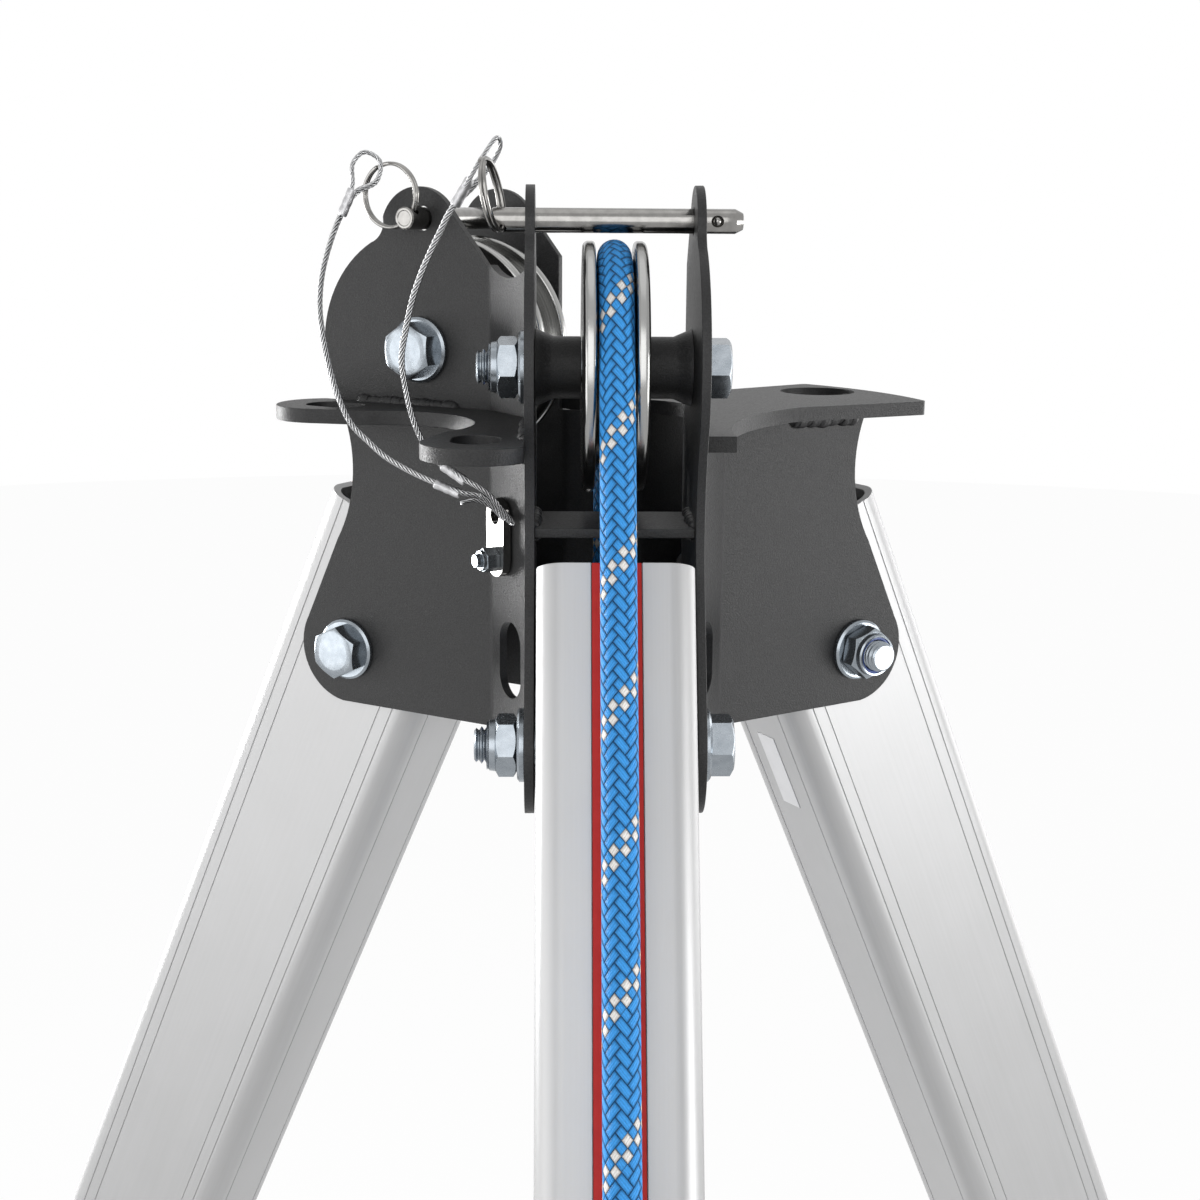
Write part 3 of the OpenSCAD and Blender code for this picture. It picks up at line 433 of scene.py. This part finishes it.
# Head plates
# Bent and welded 3 mm steel, powder-coated black with a fine, faintly sparkling grain. Three bent
# plates make the cheeks, and two thicker level plates round them carry the anchor eyes.
def edged(node, material, edge, steps=2, rides=True):
    """A copy of a node's solid, with facets joined and edges rounded, that stands for the node.
    It rides on the node's body, unless it is to be blended across a joint."""
    source = frame["nodes"][node]
    piece = bpy.data.objects.new(f"{node}_finished", source.data.copy())
    scene.collection.objects.link(piece)
    bpy.ops.object.select_all(action="DESELECT")
    piece.select_set(True)
    bpy.context.view_layer.objects.active = piece
    bpy.ops.object.mode_set(mode="EDIT")
    bpy.ops.mesh.select_all(action="SELECT")
    bpy.ops.mesh.remove_doubles(threshold=0.00002)
    bpy.ops.mesh.customdata_custom_splitnormals_clear()
    bpy.ops.mesh.dissolve_limited(angle_limit=math.radians(0.8))
    bpy.ops.object.mode_set(mode="OBJECT")
    if edge:
        bevel = piece.modifiers.new("rounded", "BEVEL")
        bevel.width, bevel.segments, bevel.limit_method = edge, steps, "ANGLE"
        bevel.angle_limit = math.radians(30)
        bevel.use_clamp_overlap = True
        bpy.ops.object.modifier_apply(modifier="rounded")
    bpy.ops.object.shade_smooth_by_angle(angle=math.radians(40))
    evened = piece.modifiers.new("evened", "WEIGHTED_NORMAL")
    evened.weight, evened.keep_sharp = 100, True
    bpy.ops.object.modifier_apply(modifier="evened")
    piece.data.materials.clear()
    piece.data.materials.append(material)
    if rides:
        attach(piece, source["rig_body"])
    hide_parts(node)
    return piece


def joined(name, pieces):
    """Pieces made one, in the order given, each with its own material."""
    bpy.ops.object.select_all(action="DESELECT")
    for piece in pieces:
        piece.select_set(True)
    bpy.context.view_layer.objects.active = pieces[0]
    bpy.ops.object.join()
    piece = bpy.context.object
    piece.name = name
    bpy.ops.object.shade_smooth_by_angle(angle=math.radians(35))
    return piece


def coat_height(start):
    return grain(start, 1500, 2) + 0.5 * grain(start, 3400, 1) + 0.5 * grain(start, 140, 2)


black_coat = finish(
    "black_coat",
    Base_Color=lambda s: shades(s, grain(s, 2300, 2), (0, 0, 0), (0.038, 0.038, 0.039)),
    Roughness=lambda s: 0.36 + 0.18 * grain(s, 900, 2),
    Specular_IOR_Level=0.27,
    Normal=lambda s: relief(s, coat_height(s), 0.00016, 0.9),
)
for node in ("head_plate_left", "head_plate_right", "head_plate_rear"):
    edged(node, black_coat, 0.0004)
for node in ("anchor_plate_left", "anchor_plate_right"):
    edged(node, black_coat, 0.0004)
for node in ("channel_braces", "pulley_spacers", "leg_stops", "rope_bracket"):
    edged(node, black_coat, 0.0004)


# Weld beads
# Short fillet welds, rippled and coated with the plates, where the anchor plates and the braces meet the
# cheeks.
facing = {"front": -math.pi / 2, "left": math.radians(150), "right": math.radians(30)}
cheek_in, cheek_out = 0.02575, 0.02875


def channel_frame(way):
    """A channel's own frame: X outward from the head's centre, Y along its pivot bolt, Z up."""
    return Matrix.Translation(head_at) @ Matrix.Rotation(facing[way], 4, "Z")


def bead_line(way, a, b):
    """Points of a weld between two places of a channel, slightly unsteady as a hand weld is."""
    stand = channel_frame(way)
    a, b = Vector(a), Vector(b)
    count = max(int((b - a).length / 0.0005), 4)
    out = []
    for k in range(count + 1):
        slow, quick = math.sin(0.65 * k + 40 * a.x), math.sin(23 / 14 * k + 90 * b.z)
        sway = 0.00022 * slow + 0.00016 * quick
        out.append(stand @ (a.lerp(b, k / count) + Vector((0, 0, sway))))
    return out


def bead_size(full, length):
    """The radius of a bead along its length: ripples, and rounded ends."""
    def size(walked):
        ends = min(1.0, max(0.05, min(walked, length - walked) / (1.3 * full)))
        ripple = 0.92 + 0.05 * abs(math.cos(math.pi * walked / 0.0023))
        ripple += 0.11 * math.sin(walked * 410 + 900 * length)
        ripple += 0.07 * math.sin(walked * 1130 + 500 * full)
        return full * ripple * math.sin(0.5 * math.pi * ends)
    return size


anchor_low, anchor_high = 0.0930, 0.0983
brace_low, brace_high = 0.0670, 0.0700
# channel, side of the cheek, start and end from the head's centre, height, size of the bead
runs = [
    # under and over the left anchor plate, along the left and the front cheeks
    ("left", 1, 0.040, 0.098, anchor_low, 0.0026), ("left", 1, 0.046, 0.096, anchor_high, 0.0024),
    ("front", -1, 0.040, 0.098, anchor_low, 0.0026), ("front", -1, 0.044, 0.096, anchor_high, 0.0024),
    # the wing plate, on the right channel's cheeks and on the tall cheeks beside it
    ("right", -1, 0.062, 0.098, anchor_low, 0.0032), ("right", 1, 0.050, 0.096, anchor_low, 0.0030),
    ("front", 1, 0.040, 0.078, anchor_low, 0.0026), ("front", 1, 0.040, 0.079, anchor_high, 0.0026),
    ("left", -1, 0.040, 0.078, anchor_low, 0.0026), ("left", -1, 0.040, 0.079, anchor_high, 0.0026),
]
welds = [
    (way, (start, side * cheek_out, z), (end, side * cheek_out, z), size)
    for way, side, start, end, z, size in runs
]
for way in ("front", "left", "right"):
    for side in (-1, 1):
        y = side * cheek_in
        welds.append((way, (0.063, y, brace_low), (0.090, y, brace_low), 0.0022))
        welds.append((way, (0.062, y, brace_high), (0.091, y, brace_high), 0.0024))
beads = []
for number, (way, a, b, size) in enumerate(welds):
    length = (Vector(b) - Vector(a)).length
    beads.append(tubes(f"weld_{number}", [bead_line(way, a, b)], bead_size(size, length), 12))
    beads[-1].data.materials.append(black_coat)
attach(joined("weld_beads", beads), "head")


# Bolts, nuts and washers
# Zinc-plated M12 bolts with chamfered heads, lock nuts with a blue nylon ring, and plain washers.
zinc = finish(
    "zinc",
    Base_Color=lambda s: shades(s, grain(s, 260, 3), (0.19, 0.215, 0.24), (0.36, 0.39, 0.42)),
    Metallic=0.92,
    Roughness=lambda s: 0.18 + 0.16 * grain(s, 420, 3),
    Normal=lambda s: relief(s, grain(s, 1400, 2), 0.00003, 0.4),
)
nylon_blue = finish(
    "nylon_blue",
    Base_Color=lambda s: shades(s, grain(s, 500), (0.012, 0.035, 0.16), (0.03, 0.08, 0.30)),
    Roughness=lambda s: 0.4 + 0.1 * grain(s, 900),
)


def lathe(name, profile, sides=48):
    """A turned piece: a profile of radius and height, spun round Z."""
    mesh = bpy.data.meshes.new(name)
    edges = [(i, i + 1) for i in range(len(profile) - 1)]
    mesh.from_pydata([(r, 0, z) for r, z in profile], edges, [])
    piece = bpy.data.objects.new(name, mesh)
    scene.collection.objects.link(piece)
    bpy.ops.object.select_all(action="DESELECT")
    piece.select_set(True)
    bpy.context.view_layer.objects.active = piece
    bpy.ops.object.mode_set(mode="EDIT")
    bpy.ops.mesh.select_all(action="SELECT")
    bpy.ops.mesh.spin(steps=sides, angle=math.tau, center=(0, 0, 0), axis=(0, 0, 1))
    bpy.ops.mesh.select_all(action="SELECT")
    bpy.ops.mesh.remove_doubles(threshold=0.000001)
    bpy.ops.mesh.normals_make_consistent(inside=False)
    bpy.ops.object.mode_set(mode="OBJECT")
    return piece


def shaped(piece, tool, operation):
    """The piece, cut or kept by a tool's shape. The tool goes."""
    cut = piece.modifiers.new("shaped", "BOOLEAN")
    cut.operation, cut.object, cut.solver = operation, tool, "EXACT"
    bpy.ops.object.select_all(action="DESELECT")
    piece.select_set(True)
    bpy.context.view_layer.objects.active = piece
    bpy.ops.object.modifier_apply(modifier="shaped")
    bpy.data.objects.remove(tool)
    return piece


def hexagon(name, flats, height, low_chamfer, high_chamfer):
    """A hexagonal bar from Z = 0 up, with its corners turned away at one end or both."""
    corner, middle = flats / math.sqrt(3), (0, 0, height / 2)
    bpy.ops.mesh.primitive_cylinder_add(vertices=6, radius=corner, depth=height, location=middle)
    piece = bpy.context.object
    piece.name = name
    bpy.ops.object.transform_apply(location=True, rotation=True, scale=True)
    inner, big = 0.455 * flats, corner * 1.02
    slope = (big - inner) * 0.55
    low, high = -0.0001, height + 0.0001
    profile = [(0, low)]
    profile += [(inner, low), (big, slope)] if low_chamfer else [(big, low)]
    profile += [(big, height - slope), (inner, high)] if high_chamfer else [(big, high)]
    turning = lathe(name + "_turning", profile + [(0, high)], 60)
    return shaped(piece, turning, "INTERSECT")


def threaded(tip, start, radius, pitch):
    """The profile of a threaded end, from its chamfered tip up."""
    root, z = radius - 0.62 * pitch, tip + 0.35 * pitch
    profile = [(0, tip), (radius - 0.7 * pitch, tip), (radius - 0.25 * pitch, z)]
    while z + pitch < start:
        profile += [(root, z + 0.45 * pitch), (root, z + 0.55 * pitch)]
        profile += [(radius, z + 0.94 * pitch), (radius, z + 1.06 * pitch)]
        z += pitch
    return profile + [(radius, start)]


def bolt_model(name, size, flats, head_low, head_h, tip, thread_from):
    """A bolt along Z, with its head on top and a slightly raised face on it."""
    head = hexagon(name, flats, head_h, False, True)
    head.data.transform(Matrix.Translation((0, 0, head_low)))
    thread = threaded(tip, thread_from, size / 2, 0.145 * size)
    shank = lathe(name + "_shank", thread + [(size / 2, head_low + 0.0002)])
    top, rise = head_low + head_h, 0.0001
    dish = lathe(name + "_face", [(0, top + rise), (0.36 * flats, top + rise), (0.40 * flats, top - rise)])
    piece = joined(name, [head, shank, dish])
    piece.data.materials.clear()
    piece.data.materials.append(zinc)
    return piece


def lock_nut_model(name, size, flats, low, high):
    """The collar with its nylon ring is at the low end."""
    collar = 0.27 * (high - low)
    bore, rim = size / 2 + 0.00005, 0.475 * flats
    body = hexagon(name, flats, high - low - collar, True, True)
    body.data.transform(Matrix.Translation((0, 0, low + collar)))
    dome = lathe(name + "_collar", [
        (bore + 0.0016, low + 0.0009), (bore + 0.0016, low + 0.0002), (bore + 0.0020, low),
        (rim - 0.0012, low + 0.0001), (rim - 0.0003, low + 0.0009), (rim, low + collar + 0.0003),
    ])
    ring = lathe(name + "_nylon", [
        (bore + 0.0016, low + 0.0012), (bore + 0.0015, low + 0.0006), (bore + 0.0004, low + 0.0005),
        (bore, low + 0.0010), (bore, low + collar),
    ])
    for part, look in ((body, zinc), (dome, zinc), (ring, nylon_blue)):
        part.data.materials.clear()
        part.data.materials.append(look)
    return joined(name, [body, dome, ring])


def washer_model(name, bore, size, low, high):
    """A plain punched washer, rounder on the side it was punched from."""
    e = 0.12 * (high - low)
    piece = lathe(name, [
        (bore, low + e), (bore, high - e), (bore + e, high), (size - 3 * e, high), (size, high - 2.4 * e),
        (size, low + 1.2 * e), (size - e, low), (bore + e, low), (bore, low + e),
    ], 64)
    piece.data.materials.append(zinc)
    bpy.ops.object.shade_smooth_by_angle(angle=math.radians(30))
    return piece


def channel(way, u, z, turn=0.0):
    """The place of a bolt in a channel: Z runs along it, from its nut to its head."""
    return (
        channel_frame(way) @ Matrix.Translation((u, 0, z))
        @ Matrix.Rotation(-math.pi / 2, 4, "X") @ Matrix.Rotation(math.radians(turn), 4, "Z")
    )


def copies(model, name, places):
    """The model at each place, as one piece."""
    made = []
    for place in places:
        piece = bpy.data.objects.new(name, model.data.copy())
        scene.collection.objects.link(piece)
        piece.data.transform(place)
        made.append(piece)
    bpy.data.objects.remove(model)
    return joined(name, made)


def stand_for(piece, node):
    """The piece rides on a node's body and takes the node's place."""
    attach(piece, frame["nodes"][node]["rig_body"])
    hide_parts(node)
    return piece


bolt_d, bolt_flats, bolt_head_h = 0.012, 0.018, 0.0075
bolt_tip, thread_from, nut_end = -0.04515, -0.030, -0.04105
washer_d, washer_t, washer_bore_r = 0.024, 0.0025, 0.00625
seat = cheek_out + washer_t
bolts = [
    ("front", axle_u, axle_z, 38), ("left", axle_u, axle_z, 2),
    ("front", pivot_u, 0, 30), ("left", pivot_u, 0, -3), ("right", pivot_u, 0, 6),
]
model = bolt_model("bolt", bolt_d, bolt_flats, seat, bolt_head_h, bolt_tip, thread_from)
placed = [channel(way, u, z, turn) for way, u, z, turn in bolts]
stand_for(copies(model, "hex_bolts", placed), "head_bolts")
model = lock_nut_model("lock_nut", bolt_d, bolt_flats, nut_end, -seat)
placed = [channel(way, u, z, turn + 4) for way, u, z, turn in bolts]
stand_for(copies(model, "nylon_lock_nuts", placed), "head_lock_nuts")
model = washer_model("washer", washer_bore_r, washer_d / 2, cheek_out, seat)
flips = (Matrix(), Matrix.Rotation(math.pi, 4, "X"))
placed = [channel(way, u, z, turn) @ flip for way, u, z, turn in bolts for flip in flips]
stand_for(copies(model, "washers", placed), "head_washers")
for way in ("front", "left", "right"):
    edged(f"foot_bolt_{way}", zinc, 0.0004)
for node in ("lanyard_screw", "lanyard_nut"):
    edged(node, zinc, 0.0002)


# Pins, rings and tabs
# Stainless quick-release pins with a split ring each, and the two thin tabs that hold the lanyards.
stainless = finish(
    "stainless",
    Base_Color=lambda s: shades(s, grain(s, 300, 3), (0.17, 0.166, 0.16), (0.32, 0.313, 0.302)),
    Metallic=1.0,
    Roughness=lambda s: 0.14 + 0.10 * grain(s, 700, 3),
    Normal=lambda s: relief(s, grain(s, 2500, 2), 0.00001, 0.3),
)
edged("lanyard_tabs", stainless, 0.0002)

pin_u, pin_z, pin_start, pin_len, pin_r = 0.0618, 0.1661, 0.0398, 0.0817, 0.0040
ring_r, ring_wire_r, ring_hole_r, ring_from_end = 0.0112, 0.0007, 0.0016, 0.0032
ball_r, ball_out, ball_pocket_r, pocket_out, ball_from_start = 0.0015, 0.0029, 0.0021, 0.0044, 0.0731
for way, side in (("front", -1), ("left", 1)):
    pin = lathe(f"quick_pin_{way}", [
        (0, 0.00025), (0.0026, 0.00025), (0.0029, 0), (0.0035, 0), (pin_r, 0.0005), (pin_r, 0.0790),
        (0.00385, 0.0794), (0.0027, 0.0816), (0.0025, pin_len), (0, pin_len),
    ])
    bpy.ops.mesh.primitive_cylinder_add(
        vertices=24, radius=ring_hole_r, depth=0.02, location=(0, 0, ring_from_end),
        rotation=(math.pi / 2, 0, side * math.pi / 4),
    )
    shaped(pin, bpy.context.object, "DIFFERENCE")
    bpy.ops.mesh.primitive_uv_sphere_add(
        segments=24, ring_count=12, radius=ball_pocket_r, location=(pocket_out, 0, ball_from_start),
    )
    shaped(pin, bpy.context.object, "DIFFERENCE")
    bpy.ops.mesh.primitive_uv_sphere_add(
        segments=24, ring_count=16, radius=ball_r, location=(ball_out, 0, ball_from_start),
    )
    ball = bpy.context.object
    bpy.ops.object.transform_apply(location=True, rotation=True, scale=True)
    pin = joined(f"quick_pin_{way}", [pin, ball])
    stand = channel_frame(way)
    start = Matrix.Translation((pin_u, side * pin_start, pin_z))
    pin.data.transform(stand @ start @ Matrix.Rotation(side * math.pi / 2, 4, "X"))
    pin.data.materials.clear()
    pin.data.materials.append(stainless)
    stand_for(pin, f"pin_{way}")
    slant = 0.26 if way == "front" else 0.0
    lift = ring_r * math.sqrt(0.5)
    middle = Vector((pin_u + lift, side * (pin_start - ring_from_end), pin_z + lift))
    coil = []
    for k in range(145):
        a = 2 * math.tau * k / 144 + 1.1
        shift = 0.00072 * max(-1.0, min(1.0, (k - 72) / 12))
        shift += side * slant * ring_r * (1 + math.cos(a - math.pi / 4))
        coil.append(stand @ (middle + Vector((ring_r * math.cos(a), shift, ring_r * math.sin(a)))))
    ring = tubes(f"split_ring_{way}", [coil], ring_wire_r, 12)
    ring.data.materials.append(stainless)
    stand_for(ring, f"ring_{way}")

ferrule_metal = finish(
    "ferrule_metal",
    Base_Color=lambda s: shades(s, grain(s, 600, 3), (0.36, 0.36, 0.37), (0.60, 0.60, 0.61)),
    Metallic=0.8,
    Roughness=lambda s: 0.34 + 0.2 * grain(s, 700),
    Normal=lambda s: relief(s, grain(s, 1200, 2), 0.00015, 0.5),
)
ferrule_r, crimp_r, ferrule_len, flattened = 0.0024, 0.00228, 0.0100, 0.74
ferrule_ends = {
    "front": [((-47, -55, 179), (-52, -54, 171)), ((-59, -30, 81), (-50, -32, 75))],
    "left": [((-91, -7, 176), (-95, -8, 167)), ((-62, -26, 74), (-52, -28, 70))],
}
for way, ends in ferrule_ends.items():
    sleeves = []
    for number, (a, b) in enumerate(ends):
        profile = [(0.0008, 0.0006), (0.0010, 0), (0.0021, 0), (ferrule_r, 0.0004)]
        for z in (0.0031, 0.0066):
            profile += [(ferrule_r, z - 0.0011), (crimp_r, z - 0.0005)]
            profile += [(crimp_r, z + 0.0005), (ferrule_r, z + 0.0011)]
        profile += [(ferrule_r, 0.0096), (0.0021, ferrule_len), (0.0010, ferrule_len), (0.0008, 0.0094)]
        sleeve = lathe(f"ferrule_{way}_{number}", profile, 24)
        heading = (Vector(b) - Vector(a)).to_track_quat("Z", "Y").to_matrix().to_4x4()
        start = Matrix.Translation(head_at + Vector(a) / 1000)
        sleeve.data.transform(start @ heading @ Matrix.Diagonal((1.0, flattened, 1.0, 1.0)))
        sleeve.data.materials.append(ferrule_metal)
        sleeves.append(sleeve)
    ferrules = joined(f"crimped_ferrules_{way}", sleeves)
    pin_body, start, end = lanyard_ends["lanyard_" + way]
    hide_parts("ferrules_" + way)
    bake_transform(ferrules)


# Pulleys
# Grooved aluminium wheels, turned and polished, each on a bronze bush.
axles = {way: channel_frame(way) @ Vector((axle_u, 0, axle_z)) for way in ("front", "left")}
across = {"front": 0.0, "left": math.radians(240)}


def turned(centre, turn, pitch):
    """Fine rings round an axle, from the distance to its axis."""
    def height(start):
        place = start.add("TexCoord", out="Object")
        sockets = {"Vector": place, "Location": centre, "Rotation": (0, 0, turn)}
        local = start.add("Mapping", {"vector_type": "TEXTURE"}, sockets)
        parts = start.add("SeparateXYZ", sockets={0: local})
        y, z = (Line(start.tree, parts.socket.node.outputs[i]) for i in (1, 2))
        radius = y.maths("SQRT", y * y + z * z)
        sockets = {"W": radius, "Scale": 1 / pitch, "Detail": 2.0}
        return start.add("TexNoise", {"noise_dimensions": "1D"}, sockets)
    return height


for way in ("front", "left"):
    rings = turned(axles[way], across[way], 0.0007)
    wheel_metal = finish(
        f"polished_{way}",
        Base_Color=lambda s: shades(s, rings(s), (0.20, 0.20, 0.197), (0.42, 0.42, 0.412)),
        Metallic=1.0,
        Roughness=lambda s: 0.10 + 0.14 * rings(s) + 0.08 * grain(s, 200),
        Normal=lambda s: relief(s, rings(s), 0.00006, 0.6),
    )
    edged(f"pulley_{way}", wheel_metal, 0.0011, 4)
bronze = finish(
    "bronze",
    Base_Color=lambda s: shades(s, grain(s, 300, 3), (0.32, 0.20, 0.07), (0.52, 0.36, 0.15)),
    Metallic=1.0,
    Roughness=lambda s: 0.28 + 0.2 * grain(s, 500),
)
for node in ("pulley_bush_front", "pulley_bush_left"):
    edged(node, bronze, 0.0003)


# Legs
# Extruded aluminium tubes, satin anodised: faint draw lines run down them. A red strip sits in the
# channel of each outer face. The inner legs slide inside and are clamped by a collar and a knob.
def leg_turn(way):
    """Euler angles that turn Z down a leg."""
    return (Matrix.Rotation(facing[way], 3, "Z") @ Matrix.Rotation(-lean, 3, "Y")).to_euler()


def anodised(way, dark, light):
    def lines(start):
        return grain(start, 900, 2, stretch=(1, 1, 60), turn=leg_turn(way))

    def mottled(start):
        mask = lines(start) * 0.6 + 0.4 * grain(start, 30, 2)
        return shades(start, mask, (dark,) * 3, (light, light, light * 1.01))
    return finish(
        f"anodised_{way}_{round(100 * light)}",
        Base_Color=mottled,
        Metallic=0.45,
        Roughness=lambda s: 0.38 + 0.12 * lines(s),
        Normal=lambda s: relief(s, lines(s), 0.00005, 0.35),
    )


stripe_red = finish(
    "stripe_red",
    Base_Color=lambda s: shades(s, grain(s, 220, 3), (0.40, 0.014, 0.012), (0.52, 0.024, 0.019)),
    Roughness=lambda s: 0.45 + 0.15 * grain(s, 400),
    Specular_IOR_Level=0.25,
    Normal=lambda s: relief(s, grain(s, 700, 2), 0.00008, 0.4),
)
black_plastic = finish(
    "black_plastic",
    Base_Color=lambda s: shades(s, grain(s, 90, 3), (0.016, 0.016, 0.017), (0.032, 0.032, 0.034)),
    Roughness=lambda s: 0.42 + 0.2 * grain(s, 600),
    Normal=lambda s: relief(s, grain(s, 1500, 2), 0.0001, 0.5),
)
for way in ("front", "left", "right"):
    edged(f"outer_leg_{way}", anodised(way, 0.37, 0.44), 0.0003)
    edged(f"inner_leg_{way}", anodised(way, 0.33, 0.40), 0.0003)
    edged(f"stripe_{way}", stripe_red, 0.0003)
    edged(f"collar_{way}", black_coat, 0.0008)
    edged(f"clamp_knob_{way}", black_plastic, 0.0012, 3)
    edged(f"foot_plug_{way}", black_plastic, 0.0008)
label_foil = finish(
    "label_foil",
    Base_Color=lambda s: shades(s, grain(s, 60, 3), (0.55, 0.55, 0.56), (0.68, 0.68, 0.69)),
    Metallic=0.6,
    Roughness=lambda s: 0.35 + 0.15 * grain(s, 150),
)
edged("label_right", label_foil, 0.0001)


# Feet
# A steel shoe with two ears on a ribbed rubber pad, which swings under the plug in the inner leg.
rubber = finish(
    "rubber",
    Base_Color=lambda s: shades(s, grain(s, 120, 3), (0.020, 0.020, 0.020), (0.045, 0.044, 0.043)),
    Roughness=lambda s: 0.72 + 0.2 * grain(s, 300),
    Normal=lambda s: relief(s, grain(s, 900, 3), 0.00025, 0.6),
)
for way in ("front", "left", "right"):
    edged(f"shoe_{way}", black_coat, 0.0006)
    edged(f"pad_{way}", rubber, 0.0012, 3)


# Rope sleeves and snap hook
# Black shrunk sleeves cover the rope's sewn joints. The hook is forged steel with a sprung gate
# that a knurled sleeve can lock.
sleeve_black = finish(
    "sleeve_black",
    Base_Color=lambda s: shades(s, grain(s, 200, 3), (0.016, 0.016, 0.017), (0.04, 0.04, 0.042)),
    Roughness=lambda s: 0.45 + 0.2 * grain(s, 400),
    Normal=lambda s: relief(s, grain(s, 500, 3), 0.0003, 0.5),
)
sleeves = edged("rope_sleeves", sleeve_black, 0.0010, 3, rides=False)
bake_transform(sleeves)
for node in ("snap_hook", "snap_gate", "screw_sleeve"):
    edged(node, zinc, 0 if node == "snap_hook" else 0.0005)
